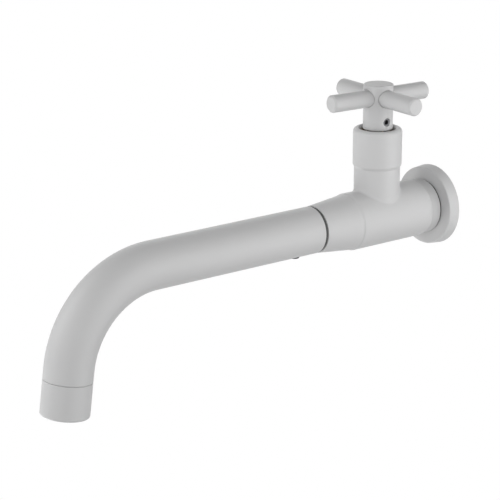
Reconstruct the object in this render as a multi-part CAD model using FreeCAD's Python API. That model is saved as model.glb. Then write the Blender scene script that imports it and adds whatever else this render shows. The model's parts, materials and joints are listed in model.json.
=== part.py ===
import FreeCAD, Part
import math
import os

from FreeCAD import Vector

# Wall-mounted basin tap, in millimetres, +Z up.
# The origin is on the inlet axis at the wall plane. -Y points out of the wall, so sizes that are
# called "out" are distances from the wall plane along -Y. Sizes called "height" are along +Z.

# Running and fitting clearances, all radial, and how far a cutter passes a face
thread_clearance = 0.05
braze_gap = 0.03
swivel_clearance = 0.06
ring_clearance = 0.04
slip_clearance = 0.3
cut_over = 1.0

# Inlet shank: G1/2 thread, round collar, spigot in the body
shank_thread_radius = 10.4775
shank_thread_length = 12.5
shank_end_chamfer = 1.0
shank_relief = 0.2
inlet_bore_radius = 6.0
key_socket_flats = 13.0
key_socket_depth = 10.0
collar_length = 7.0
collar_step = 0.7
collar_edge = 0.3
shank_spigot_radius = 10.95
shank_spigot_length = 11.2
inlet_socket_spare = 1.0
inlet_ring_section = 0.8

# Escutcheon, the round flange on the wall
escutcheon_radius = 25.0
escutcheon_thickness = 7.4
escutcheon_draft = 0.7
escutcheon_edge_radius = 0.8
escutcheon_wall = 2.2
escutcheon_inner_edge_radius = 1.2
escutcheon_boss_wall = 3.4
escutcheon_ring_section = 0.9
escutcheon_washer_thickness = 0.9
escutcheon_washer_step = 0.5

# Valve body: barrel along the inlet axis, neck up the handle's axis
barrel_radius = 17.6
barrel_behind_axis = 31.5
barrel_before_axis = 24.2
barrel_rear_round = 1.1
barrel_front_round = 0.5
neck_step = 0.9
neck_shoulder_height = 31.5
neck_spigot_length = 12.1
neck_spigot_fit = 0.35
neck_fillet = 2.4
inlet_way_radius = 7.0
inlet_way_beyond_axis = 5.4
seat_bore_radius = 5.5
chamber_undercut = 0.72
chamber_below_shoulder = 1.5
outlet_bore_radius = 11.5
outlet_bore_beyond_axis = 8.7
outlet_floor = 1.5
outlet_port_radius = 3.5
outlet_port_above_bore = 4.5

# Tapered outlet adapter with the swivel spigot
adapter_length = 25.6
adapter_rear_step = 0.5
adapter_front_step = 0.1
adapter_thread_length = 6.5
adapter_bore_radius = 7.2
adapter_ring_section = 0.9
swivel_spigot_length = 32.0
spigot_groove_depth = 1.6
spigot_groove_width = 2.2
spigot_ring_from_end = 6.0
spigot_ring_spacing = 6.0
swivel_washer_thickness = 1.7
swivel_washer_step = 0.5
swivel_end_play = 0.2

# Spout: a drawn tube with one bend, and the bush it turns on
spout_radius = 14.3
spout_wall = 1.25
spout_straight = 117.0
spout_bend_radius = 57.8
spout_bend_angle = 82.3
spout_end_straight = 5.7
inlet_bush_wall = 2.55
bush_beyond_spigot = 1.4

# Retaining screw under the spout, riding in a turned groove of the swivel spigot
retainer_in = 13.2
retainer_thread_radius = 2.0
retainer_head_radius = 3.25
retainer_head_clearance = 0.15
retainer_head_seat = 0.5
retainer_head_round = 0.5
retainer_proud = 0.7
retainer_dog_radius = 1.4
retainer_groove_width = 3.2
retainer_groove_depth = 1.5
retainer_tip_gap = 0.3
retainer_key_flats = 2.5
retainer_key_depth = 1.6

# Outlet bush and aerator at the spout's tip
outlet_bush_depth = 5.0
outlet_bush_wall = 3.55
nipple_step = 0.65
nipple_length = 9.0
shell_length = 20.9
shell_end_round = 1.5
aerator_washer_thickness = 1.4
insert_flange_thickness = 1.5
insert_step = 1.1
insert_side_clearance = 0.15
insert_recess_from_end = 1.3
insert_floor = 3.0
insert_rim_wall = 1.0
insert_hole_radius = 1.35
insert_hole_rings = 2
insert_hole_margin = 1.15
screen_thickness = 0.8
screen_below_rim = 0.8
screen_hole_radius = 0.75
screen_hole_rings = 3
screen_hole_margin = 1.7

# Headwork: the quarter-turn ceramic valve in its brass bonnet
bonnet_thread_radius = 10.4775
cage_bore_radius = 7.6
cage_wall = 1.7
cage_foot_gap = 0.1
cage_head_gap = 0.38
cage_window_width = 9.0
cage_window_below_disc = 0.6
cage_window_height = 4.0
cage_shoulder_gap = 0.2
bonnet_relief_length = 1.0
bonnet_washer_thickness = 0.8
bonnet_flange_thickness = 1.2
bonnet_hex_flats = 21.0
bonnet_hex_height = 5.0
turret_radius = 7.2
turret_height = 2.3

# Seat seal and ceramic discs
seal_seat_step = 0.7
seal_foot_height = 2.1
seal_collar_height = 1.3
disc_thickness = 2.6
disc_running_gap = 0.02
moving_disc_thickness = 3.3
disc_side_clearance = 0.12
disc_hole_inner_radius = 2.6
disc_rim = 1.08
disc_hole_angle = 80.0
disc_lobe_angle = 90.0
disc_core_radius = 2.2

# Spindle
spindle_radius = 4.5
spindle_head_height = 2.4
spindle_head_gap = 0.1
tongue_width = 2.8
tongue_depth = 1.2
tongue_clearance = 0.1
stop_lug_angle = 30.0
stop_lug_height = 1.9
stop_lug_clearance = 0.2
handle_travel = 90.0
stop_slack_angle = 1.0
spindle_ring_above_relief = 1.8
spindle_ring_spacing = 5.0
spindle_groove_width = 2.2
spindle_groove_depth = 1.7
glide_ring_thickness = 0.6
glide_ring_width = 2.0
circlip_thickness = 0.8
circlip_width = 2.2
circlip_groove_depth = 0.7
circlip_gap_width = 3.0
spline_step = 0.5
spline_length = 11.6
spline_chamfer = 0.6

# Shroud sleeve over the headwork
sleeve_wall = 2.05
sleeve_hex_clearance = 0.826
sleeve_above_turret = 2.9
sleeve_lip_thickness = 2.4
sleeve_opening_gap = 1.5
sleeve_opening_round_share = 0.43
sleeve_top_round_share = 0.54
sleeve_bottom_chamfer = 0.85
sleeve_ring_section = 0.55
sleeve_ring_below_top = 5.6

# Cross handle
handle_rest_angle = -3.0
hub_radius = 9.1
hub_above_circlip = 0.9
hub_top_round = 0.9
hub_bottom_chamfer = 0.4
hub_socket_clearance = 0.06
hub_socket_spare = 0.8
hub_floor = 2.55
hub_cover = 2.95
arm_radius = 5.35
arm_reach = 36.0
arm_end_chamfer = 1.0
arm_seat_spacing = 0.75
arm_stud_radius = 2.0
arm_stud_length = 3.0
arm_stud_spare = 0.2
arm_count = 4
set_screw_up = 5.2
set_screw_radius = 2.5
set_screw_recess = 0.8
set_screw_point = 0.6
set_screw_rim = 0.3
set_screw_key_flats = 3.0
set_screw_key_depth = 2.2

# Distances from the wall that follow from the sizes above
collar_rear_out = escutcheon_thickness + escutcheon_washer_thickness
barrel_rear_out = collar_rear_out + collar_length
handle_axis_out = barrel_rear_out + barrel_behind_axis
barrel_front_out = handle_axis_out + barrel_before_axis
adapter_front_out = barrel_front_out + adapter_length
spigot_end_out = adapter_front_out + swivel_spigot_length
spout_start_out = adapter_front_out + swivel_washer_thickness + swivel_end_play
bend_start_out = spout_start_out + spout_straight
retainer_out = spout_start_out + retainer_in

# Radii that follow
collar_radius = barrel_radius - collar_step
shank_neck_radius = shank_thread_radius - shank_relief
spout_inner_radius = spout_radius - spout_wall
swivel_spigot_radius = spout_inner_radius - inlet_bush_wall
outlet_bush_bore = spout_inner_radius - outlet_bush_wall
nipple_radius = spout_inner_radius - nipple_step
insert_radius = nipple_radius - insert_step
adapter_rear_radius = barrel_radius - adapter_rear_step
adapter_front_radius = spout_radius + adapter_front_step
cage_radius = cage_bore_radius + cage_wall
disc_radius = cage_bore_radius - disc_side_clearance
chamber_radius = bonnet_thread_radius + chamber_undercut
sleeve_inner_radius = bonnet_hex_flats / math.sqrt(3) + sleeve_hex_clearance
sleeve_radius = sleeve_inner_radius + sleeve_wall
sleeve_opening_radius = hub_radius + sleeve_opening_gap
sleeve_rim_width = sleeve_radius - sleeve_opening_radius
sleeve_opening_round = sleeve_opening_round_share * sleeve_rim_width
sleeve_top_round = sleeve_top_round_share * sleeve_rim_width
neck_radius = sleeve_radius - neck_step
neck_spigot_radius = sleeve_inner_radius - neck_spigot_fit
spline_radius = spindle_radius - spline_step
arm_seat_radius = arm_radius + arm_seat_spacing

# Heights that follow, from the seat up to the handle
seat_height = outlet_bore_radius + outlet_floor
seal_foot_top = seat_height + seal_foot_height
cage_bottom_height = seal_foot_top + cage_foot_gap
fixed_disc_bottom = seal_foot_top + seal_collar_height
fixed_disc_top = fixed_disc_bottom + disc_thickness
moving_disc_bottom = fixed_disc_top + disc_running_gap
moving_disc_top = moving_disc_bottom + moving_disc_thickness
spindle_head_bottom = moving_disc_top + spindle_head_gap
spindle_head_top = spindle_head_bottom + spindle_head_height
cage_bore_top_height = spindle_head_top + cage_head_gap
chamber_top_height = neck_shoulder_height - chamber_below_shoulder
relief_top_height = chamber_top_height + cage_shoulder_gap + bonnet_relief_length
spindle_ring_lower_height = relief_top_height + spindle_ring_above_relief
spindle_ring_upper_height = spindle_ring_lower_height + spindle_ring_spacing
neck_top_height = neck_shoulder_height + neck_spigot_length
sleeve_ring_height = neck_top_height - sleeve_ring_below_top
bonnet_flange_bottom = neck_top_height + bonnet_washer_thickness
bonnet_hex_bottom = bonnet_flange_bottom + bonnet_flange_thickness
turret_bottom = bonnet_hex_bottom + bonnet_hex_height
turret_top = turret_bottom + turret_height
sleeve_top_height = turret_top + sleeve_above_turret
circlip_bottom = turret_top + glide_ring_thickness
circlip_top = circlip_bottom + circlip_thickness
spline_top = circlip_top + spline_length
hub_bottom_height = circlip_top + hub_above_circlip
set_screw_height = hub_bottom_height + set_screw_up
arm_height = spline_top + hub_socket_spare + hub_floor + arm_radius
hub_top_height = arm_height + arm_radius + hub_cover

UP = Vector(0, 0, 1)
OUT = Vector(0, -1, 0)
ACROSS = Vector(1, 0, 0)


def corner_points(before, corner, after, radius):
    """Start, middle and end of the arc that rounds one corner of an outline."""
    to_before = (before - corner).normalize()
    to_after = (after - corner).normalize()
    half_angle = to_before.getAngle(to_after) / 2
    along = radius / math.tan(half_angle)
    bisector = (to_before + to_after).normalize()
    middle = corner + bisector * (radius / math.sin(half_angle) - radius)
    return corner + to_before * along, middle, corner + to_after * along


def outline(corners):
    """Closed wire through (along, radius) corners. A third number rounds that corner."""
    points = [Vector(corner[1], 0, corner[0]) for corner in corners]
    edges = []
    first = None
    last = None
    for index, corner in enumerate(corners):
        before = points[index - 1]
        after = points[(index + 1) % len(points)]
        here = points[index]
        if len(corner) > 2:
            start, middle, end = corner_points(before, here, after, corner[2])
        else:
            start, middle, end = here, None, here
        if last is not None and last.distanceToPoint(start) > 1e-6:
            edges.append(Part.makeLine(last, start))
        if middle is not None:
            edges.append(Part.Arc(start, middle, end).toShape())
        if first is None:
            first = start
        last = end
    if last.distanceToPoint(first) > 1e-6:
        edges.append(Part.makeLine(last, first))
    return Part.Wire(edges)


def turned(corners):
    """Solid turned about the local Z axis from a closed outline."""
    return Part.Face(outline(corners)).revolve(Vector(0, 0, 0), UP, 360)


def rod(bottom, top, radius):
    """Plain cylinder on the local Z axis."""
    return Part.makeCylinder(radius, top - bottom, Vector(0, 0, bottom))


def ring(bottom, top, inner, outer):
    """Flat ring on the local Z axis."""
    return rod(bottom, top, outer).cut(rod(bottom, top, inner))


def o_ring(middle, inner, section):
    """Round rubber ring whose inner radius is given, on the local Z axis."""
    return Part.makeTorus(inner + section, section, Vector(0, 0, middle), UP)


def hexagon(bottom, top, flats):
    """Hexagonal bar on the local Z axis, of a size across flats."""
    corner_radius = flats / math.sqrt(3)
    angles = [math.radians(60 * step + 30) for step in range(7)]
    points = [Vector(corner_radius * math.cos(a), corner_radius * math.sin(a), bottom) for a in angles]
    return Part.Face(Part.makePolygon(points)).extrude(UP * (top - bottom))


def sector(bottom, top, inner, outer, middle_angle, width_angle):
    """Part of a flat ring, centred on an angle about the local Z axis."""
    wedge = Part.makeCylinder(outer, top - bottom, Vector(0, 0, bottom), UP, width_angle)
    wedge.rotate(Vector(0, 0, 0), UP, middle_angle - width_angle / 2)
    return wedge.cut(rod(bottom, top, inner))


def hole_pattern(bottom, top, radius, pitch, rings):
    """Round holes on a triangular grid, as a list of cylinders."""
    holes = []
    for row in range(-rings, rings + 1):
        for column in range(-rings, rings + 1):
            if abs(row + column) > rings:
                continue
            x = pitch * (column + row / 2)
            y = pitch * row * math.sqrt(3) / 2
            holes.append(Part.makeCylinder(radius, top - bottom, Vector(x, y, bottom)))
    return holes


def on_inlet_axis(shape):
    """Turns local +Z to point out of the wall."""
    shape.Placement = FreeCAD.Placement(Vector(0, 0, 0), FreeCAD.Rotation(UP, OUT))
    return shape


def on_handle_axis(shape):
    """Moves a piece to the handle's axis, local Z staying the height."""
    shape.Placement = FreeCAD.Placement(Vector(0, -handle_axis_out, 0), FreeCAD.Rotation())
    return shape


def tip_frame():
    """Centre and flow direction at the seam between the spout tube and the aerator shell."""
    angle = math.radians(spout_bend_angle)
    flow = Vector(0, -math.cos(angle), -math.sin(angle))
    bend_end = Vector(
        0,
        -bend_start_out - spout_bend_radius * math.sin(angle),
        -spout_bend_radius * (1 - math.cos(angle)),
    )
    return bend_end + flow * spout_end_straight, flow


def on_tip_axis(shape):
    """Moves a piece to the spout's tip, local +Z pointing with the flow and zero at the seam."""
    seam, flow = tip_frame()
    shape.Placement = FreeCAD.Placement(seam, FreeCAD.Rotation(UP, flow))
    return shape


def below_spout(shape):
    """Moves a radial piece under the spout, local +Z pointing down from the inlet axis."""
    shape.Placement = FreeCAD.Placement(Vector(0, -retainer_out, 0), FreeCAD.Rotation(UP, UP * -1))
    return shape


def on_handle_spoke(shape, height, angle):
    """Moves a radial piece to a height on the handle axis, local +Z pointing outwards at an angle."""
    direction = Vector(math.cos(math.radians(angle)), math.sin(math.radians(angle)), 0)
    shape.Placement = FreeCAD.Placement(
        Vector(0, -handle_axis_out, height), FreeCAD.Rotation(UP, direction)
    )
    return shape


def inlet_shank():
    """Wall connector: G1/2 thread behind the wall plane, collar, spigot in the body, key socket."""
    thread_rear = -shank_thread_length
    end = thread_rear - shank_end_chamfer
    collar_front = collar_rear_out + collar_length
    groove_front = collar_front + 2 * inlet_ring_section + 2 * ring_clearance
    groove_radius = shank_spigot_radius - 2 * inlet_ring_section
    spigot_end = collar_front + shank_spigot_length
    solid = turned([
        (end, 0),
        (end, shank_thread_radius - shank_end_chamfer),
        (thread_rear, shank_thread_radius),
        (0, shank_thread_radius),
        (0, shank_neck_radius),
        (collar_rear_out, shank_neck_radius),
        (collar_rear_out, collar_radius, collar_edge),
        (collar_front, collar_radius, collar_edge),
        (collar_front, groove_radius),
        (groove_front, groove_radius),
        (groove_front, shank_spigot_radius),
        (spigot_end, shank_spigot_radius),
        (spigot_end, 0),
    ])
    solid = solid.cut(rod(end, spigot_end, inlet_bore_radius))
    solid = solid.cut(hexagon(end, end + key_socket_depth, key_socket_flats))
    return on_inlet_axis(solid)


def inlet_o_ring():
    """Seals the shank's spigot in the body, against the collar."""
    inner = shank_spigot_radius - 2 * inlet_ring_section + ring_clearance / 2
    middle = collar_rear_out + collar_length + inlet_ring_section + ring_clearance
    return on_inlet_axis(o_ring(middle, inner, inlet_ring_section))


def escutcheon_boss_radius():
    """Outer radius of the boss inside the escutcheon."""
    return shank_thread_radius + slip_clearance + escutcheon_boss_wall


def escutcheon():
    """Cast flange: a hollow cup that tapers a little to the front, and a boss round the shank."""
    cup_floor = escutcheon_thickness - escutcheon_wall
    front_radius = escutcheon_radius - escutcheon_draft
    solid = turned([
        (0, 0),
        (0, escutcheon_radius),
        (escutcheon_thickness, front_radius, escutcheon_edge_radius),
        (escutcheon_thickness, 0),
    ])
    hollow = turned([
        (0, escutcheon_boss_radius()),
        (0, escutcheon_radius - escutcheon_wall),
        (cup_floor, front_radius - escutcheon_wall, escutcheon_inner_edge_radius),
        (cup_floor, escutcheon_boss_radius()),
    ])
    bore = rod(0, escutcheon_thickness, shank_thread_radius + slip_clearance)
    solid = solid.cut(hollow).cut(bore).cut(escutcheon_groove())
    return on_inlet_axis(solid)


def escutcheon_groove():
    """Groove for the O-ring in the escutcheon's bore."""
    half_width = escutcheon_ring_section + ring_clearance
    middle = escutcheon_thickness / 2
    outer = shank_neck_radius + 2 * escutcheon_ring_section + 2 * ring_clearance
    return rod(middle - half_width, middle + half_width, outer)


def escutcheon_o_ring():
    """Grips the shank, so that the escutcheon stays put."""
    inner = shank_neck_radius + ring_clearance
    return on_inlet_axis(o_ring(escutcheon_thickness / 2, inner, escutcheon_ring_section))


def escutcheon_washer():
    """Dark washer that the collar presses on the escutcheon."""
    outer = collar_radius - escutcheon_washer_step
    inner = shank_neck_radius + slip_clearance
    return on_inlet_axis(ring(escutcheon_thickness, collar_rear_out, inner, outer))


def valve_body():
    """Cast body: barrel, neck, seat, chamber, and the ways in and out."""
    barrel = on_inlet_axis(turned([
        (barrel_rear_out, 0),
        (barrel_rear_out, barrel_radius, barrel_rear_round),
        (barrel_front_out, barrel_radius, barrel_front_round),
        (barrel_front_out, 0),
    ]))
    neck = on_handle_axis(rod(0, neck_shoulder_height, neck_radius))
    solid = barrel.fuse(neck).removeSplitter()
    solid = solid.makeFillet(neck_fillet, neck_root_edges(solid))
    spigot = rod(neck_shoulder_height, neck_top_height, neck_spigot_radius)
    solid = solid.fuse(on_handle_axis(spigot.cut(sleeve_groove())))
    inlet_socket_end = barrel_rear_out + shank_spigot_length + inlet_socket_spare
    inlet_way_end = handle_axis_out + inlet_way_beyond_axis
    outlet_bore_rear = handle_axis_out + outlet_bore_beyond_axis
    along_ways = [
        rod(barrel_rear_out, inlet_socket_end, shank_spigot_radius + thread_clearance),
        rod(inlet_socket_end, inlet_way_end, inlet_way_radius),
        rod(outlet_bore_rear, barrel_front_out, outlet_bore_radius),
    ]
    upright_ways = [
        rod(0, seat_height, seat_bore_radius),
        rod(seat_height, chamber_top_height, chamber_radius),
        rod(chamber_top_height, neck_top_height, bonnet_thread_radius + thread_clearance),
    ]
    for way in along_ways:
        solid = solid.cut(on_inlet_axis(way))
    for way in upright_ways:
        solid = solid.cut(on_handle_axis(way))
    return solid.cut(outlet_port())


def neck_root_edges(solid):
    """The edges where the neck meets the barrel: on both cylinders, above the barrel's middle."""
    edges = []
    for edge in solid.Edges:
        middle = edge.valueAt((edge.FirstParameter + edge.LastParameter) / 2)
        from_handle_axis = math.hypot(middle.x, middle.y + handle_axis_out)
        from_inlet_axis = math.hypot(middle.x, middle.z)
        on_neck = abs(from_handle_axis - neck_radius) < 0.01
        on_barrel = abs(from_inlet_axis - barrel_radius) < 0.01
        if on_neck and on_barrel and edge.Length > neck_radius:
            edges.append(edge)
    return edges


def outlet_port():
    """Slanted drilling, at 45 degrees, from the chamber down to the outlet bore."""
    chamber_front = handle_axis_out + chamber_radius
    middle = Vector(0, -chamber_front, seat_height)
    down = Vector(0, -1, -1).normalize()
    above = middle - down * outlet_port_above_bore
    reach = outlet_port_above_bore + outlet_port_radius + seat_height - inlet_way_radius
    return Part.makeCylinder(outlet_port_radius, reach, above, down)


def sleeve_groove():
    """Groove round the neck's spigot for the sleeve's O-ring."""
    half_width = sleeve_ring_section + ring_clearance
    inner = sleeve_inner_radius - 2 * sleeve_ring_section - 2 * ring_clearance
    return ring(
        sleeve_ring_height - half_width,
        sleeve_ring_height + half_width,
        inner,
        neck_spigot_radius + cut_over,
    )


def sleeve_o_ring():
    """Holds the sleeve on the neck."""
    inner = sleeve_inner_radius - 2 * sleeve_ring_section - ring_clearance
    return on_handle_axis(o_ring(sleeve_ring_height, inner, sleeve_ring_section))


def shroud_sleeve():
    """Round cover over the headwork, standing on the neck's shoulder."""
    lip_bottom = sleeve_top_height - sleeve_lip_thickness
    return on_handle_axis(turned([
        (neck_shoulder_height, sleeve_inner_radius),
        (neck_shoulder_height, sleeve_radius - sleeve_bottom_chamfer),
        (neck_shoulder_height + sleeve_bottom_chamfer, sleeve_radius),
        (sleeve_top_height, sleeve_radius, sleeve_top_round),
        (sleeve_top_height, sleeve_opening_radius, sleeve_opening_round),
        (lip_bottom, sleeve_opening_radius),
        (lip_bottom, sleeve_inner_radius),
    ]))


def adapter_groove(middle, width, depth):
    """Groove turned round the swivel spigot."""
    inner = swivel_spigot_radius - depth
    return ring(middle - width / 2, middle + width / 2, inner, swivel_spigot_radius + cut_over)


def spigot_ring_places():
    """Distances from the wall of the two spout O-rings."""
    front = spigot_end_out - spigot_ring_from_end
    return front - spigot_ring_spacing, front


def adapter_seal_radius():
    """Bottom of the O-ring groove behind the adapter's shoulder."""
    return outlet_bore_radius - 2 * adapter_ring_section - 2 * ring_clearance


def outlet_adapter():
    """Tapered piece screwed into the barrel; the spout turns on its long spigot."""
    thread_radius = outlet_bore_radius - thread_clearance
    thread_rear = barrel_front_out - adapter_thread_length
    seal_rear = barrel_front_out - 2 * adapter_ring_section - 2 * ring_clearance
    solid = turned([
        (thread_rear, 0),
        (thread_rear, thread_radius),
        (seal_rear, thread_radius),
        (seal_rear, adapter_seal_radius()),
        (barrel_front_out, adapter_seal_radius()),
        (barrel_front_out, adapter_rear_radius),
        (adapter_front_out, adapter_front_radius),
        (adapter_front_out, swivel_spigot_radius),
        (spigot_end_out, swivel_spigot_radius),
        (spigot_end_out, 0),
    ])
    solid = solid.cut(rod(thread_rear, spigot_end_out, adapter_bore_radius))
    solid = solid.cut(adapter_groove(retainer_out, retainer_groove_width, retainer_groove_depth))
    for middle in spigot_ring_places():
        solid = solid.cut(adapter_groove(middle, spigot_groove_width, spigot_groove_depth))
    return on_inlet_axis(solid)


def adapter_o_ring():
    """Seals the adapter in the barrel."""
    middle = barrel_front_out - adapter_ring_section - ring_clearance
    inner = adapter_seal_radius() + ring_clearance
    return on_inlet_axis(o_ring(middle, inner, adapter_ring_section))


def spigot_o_ring(middle):
    """Seals the spout on the spigot."""
    inner = swivel_spigot_radius - spigot_groove_depth + ring_clearance / 2
    outer = swivel_spigot_radius + swivel_clearance - ring_clearance
    return on_inlet_axis(o_ring(middle, inner, (outer - inner) / 2))


def swivel_washer():
    """Dark washer between the adapter and the spout."""
    outer = adapter_front_radius - swivel_washer_step
    inner = swivel_spigot_radius + swivel_clearance
    front = adapter_front_out + swivel_washer_thickness
    return on_inlet_axis(ring(adapter_front_out, front, inner, outer))


def spout_tube():
    """Tube of even wall: a long straight, one bend, and a short straight to the tip."""
    start = Vector(0, -spout_start_out, 0)
    outer = Part.Face(Part.Wire(Part.makeCircle(spout_radius, start, OUT)))
    inner = Part.Face(Part.Wire(Part.makeCircle(spout_inner_radius, start, OUT)))
    section = outer.cut(inner).Faces[0]
    straight = section.extrude(OUT * spout_straight)
    section.translate(OUT * spout_straight)
    bend_centre = Vector(0, -bend_start_out, -spout_bend_radius)
    bend = section.revolve(bend_centre, ACROSS, spout_bend_angle)
    section.rotate(bend_centre, ACROSS, spout_bend_angle)
    seam, flow = tip_frame()
    end = section.extrude(flow * spout_end_straight)
    tube = straight.fuse([bend, end]).removeSplitter()
    head_hole = rod(0, spout_radius + cut_over, retainer_head_radius + retainer_head_clearance)
    return tube.cut(below_spout(head_hole))


def spout_inlet_bush():
    """Brazed into the tube; it runs on the spigot and holds the retaining screw."""
    bore = swivel_spigot_radius + swivel_clearance
    outer = spout_inner_radius - braze_gap
    end = spigot_end_out + bush_beyond_spigot
    solid = on_inlet_axis(ring(spout_start_out, end, bore, outer))
    screw_hole = rod(0, spout_radius, retainer_thread_radius)
    seat_radius = retainer_head_radius + retainer_head_clearance
    seat = rod(outer - retainer_head_seat, spout_radius, seat_radius)
    return solid.cut(below_spout(screw_hole)).cut(below_spout(seat))


def spout_retaining_screw():
    """Small dog-point screw: it keeps the spout on the spigot and lets it turn."""
    seat = spout_inner_radius - braze_gap - retainer_head_seat
    head_end = spout_radius + retainer_proud
    dog_start = swivel_spigot_radius + swivel_clearance
    tip = swivel_spigot_radius - retainer_groove_depth + retainer_tip_gap
    shank = retainer_thread_radius - braze_gap
    solid = turned([
        (tip, 0),
        (tip, retainer_dog_radius),
        (dog_start, retainer_dog_radius),
        (dog_start, shank),
        (seat, shank),
        (seat, retainer_head_radius),
        (head_end, retainer_head_radius, retainer_head_round),
        (head_end, 0),
    ])
    solid = solid.cut(hexagon(head_end - retainer_key_depth, head_end, retainer_key_flats))
    return below_spout(solid)


def spout_outlet_bush():
    """Brazed into the tip; its nipple carries the aerator shell."""
    solid = turned([
        (-outlet_bush_depth, outlet_bush_bore),
        (-outlet_bush_depth, spout_inner_radius - braze_gap),
        (0, spout_inner_radius - braze_gap),
        (0, nipple_radius),
        (nipple_length, nipple_radius),
        (nipple_length, outlet_bush_bore),
    ])
    return on_tip_axis(solid)


def insert_shoulder():
    """Where the insert's flange ends in the shell, from the seam."""
    return nipple_length + aerator_washer_thickness + insert_flange_thickness


def aerator_shell():
    """Round shell flush with the spout, screwed on the nipple."""
    solid = turned([
        (0, nipple_radius + thread_clearance),
        (0, spout_radius),
        (shell_length, spout_radius, shell_end_round),
        (shell_length, insert_radius + insert_side_clearance),
        (insert_shoulder(), insert_radius + insert_side_clearance),
        (insert_shoulder(), nipple_radius + thread_clearance),
    ])
    return on_tip_axis(solid)


def aerator_washer():
    """Rubber washer between the nipple and the insert."""
    bottom = nipple_length
    top = nipple_length + aerator_washer_thickness
    return on_tip_axis(ring(bottom, top, outlet_bush_bore, nipple_radius - thread_clearance))


def insert_end():
    """Where the insert ends, from the seam."""
    return shell_length - insert_recess_from_end


def aerator_insert():
    """Plastic flow former: a flanged cup with round water holes."""
    top = nipple_length + aerator_washer_thickness
    solid = turned([
        (top, 0),
        (top, nipple_radius - thread_clearance),
        (insert_shoulder(), nipple_radius - thread_clearance),
        (insert_shoulder(), insert_radius),
        (insert_end(), insert_radius),
        (insert_end(), insert_radius - insert_rim_wall),
        (top + insert_floor, insert_radius - insert_rim_wall),
        (top + insert_floor, 0),
    ])
    spread = insert_radius - insert_rim_wall - insert_hole_radius - insert_hole_margin
    pitch = spread / insert_hole_rings
    holes = hole_pattern(top, top + insert_floor, insert_hole_radius, pitch, insert_hole_rings)
    return on_tip_axis(solid.cut(holes))


def aerator_screen():
    """Outlet screen held in the insert's rim."""
    radius = insert_radius - insert_rim_wall - thread_clearance
    top = insert_end() - screen_below_rim
    bottom = top - screen_thickness
    pitch = (radius - screen_hole_radius - screen_hole_margin) / screen_hole_rings
    holes = hole_pattern(bottom, top, screen_hole_radius, pitch, screen_hole_rings)
    return on_tip_axis(rod(bottom, top, radius).cut(holes))


def headwork_bonnet():
    """Brass bonnet: cage with two windows, thread, flange, hexagon and turret."""
    solid = turned([
        (cage_bottom_height, 0),
        (cage_bottom_height, cage_radius),
        (relief_top_height, cage_radius),
        (relief_top_height, bonnet_thread_radius),
        (bonnet_flange_bottom, bonnet_thread_radius),
        (bonnet_flange_bottom, neck_spigot_radius - slip_clearance),
        (bonnet_hex_bottom, neck_spigot_radius - slip_clearance),
        (bonnet_hex_bottom, turret_radius),
        (turret_top, turret_radius),
        (turret_top, 0),
    ])
    solid = solid.fuse(hexagon(bonnet_hex_bottom, turret_bottom, bonnet_hex_flats))
    solid = solid.cut(rod(cage_bottom_height, cage_bore_top_height, cage_bore_radius))
    solid = solid.cut(rod(cage_bore_top_height, turret_top, spindle_radius + swivel_clearance))
    recess_angle = handle_travel + stop_lug_angle + 2 * stop_slack_angle
    recess_top = spindle_head_top + stop_lug_height + stop_lug_clearance
    recess = sector(
        cage_bore_top_height,
        recess_top,
        spindle_radius,
        cage_bore_radius,
        handle_travel / 2,
        recess_angle,
    )
    window = Part.makeBox(
        cage_window_width,
        4 * cage_radius,
        cage_window_height,
        Vector(-cage_window_width / 2, -2 * cage_radius, fixed_disc_top - cage_window_below_disc),
    )
    return on_handle_axis(solid.cut(recess).cut(window).removeSplitter())


def bonnet_washer():
    """Fibre washer under the bonnet's flange."""
    inner = bonnet_thread_radius + thread_clearance
    outer = neck_spigot_radius - slip_clearance
    return on_handle_axis(ring(neck_top_height, bonnet_flange_bottom, inner, outer))


def seat_seal():
    """Rubber seal that stands on the seat and carries the fixed disc."""
    inner = seat_bore_radius + seal_seat_step
    outer = cage_radius - slip_clearance
    solid = turned([
        (seat_height, inner),
        (seat_height, outer),
        (seal_foot_top, outer),
        (seal_foot_top, disc_radius),
        (fixed_disc_bottom, disc_radius),
        (fixed_disc_bottom, inner),
    ])
    return on_handle_axis(solid)


def ceramic_disc_fixed():
    """Lower disc with two water holes, on the X axis."""
    solid = rod(fixed_disc_bottom, fixed_disc_top, disc_radius)
    for angle in (0, 180):
        solid = solid.cut(sector(
            fixed_disc_bottom,
            fixed_disc_top,
            disc_hole_inner_radius,
            disc_radius - disc_rim,
            angle,
            disc_hole_angle,
        ))
    return on_handle_axis(solid)


def ceramic_disc_moving():
    """Upper disc: two lobes that cover the holes at rest, and a slot for the spindle's tongue."""
    solid = rod(moving_disc_bottom, moving_disc_top, disc_radius)
    for angle in (90, 270):
        solid = solid.cut(sector(
            moving_disc_bottom,
            moving_disc_top,
            disc_core_radius,
            disc_radius + cut_over,
            angle,
            180 - disc_lobe_angle,
        ))
    slot_width = tongue_width + 2 * tongue_clearance
    slot_depth = tongue_depth + tongue_clearance - spindle_head_gap
    slot = Part.makeBox(
        2 * cage_radius,
        slot_width,
        slot_depth,
        Vector(-cage_radius, -slot_width / 2, moving_disc_top - slot_depth),
    )
    return on_handle_axis(solid.cut(slot))


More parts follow.
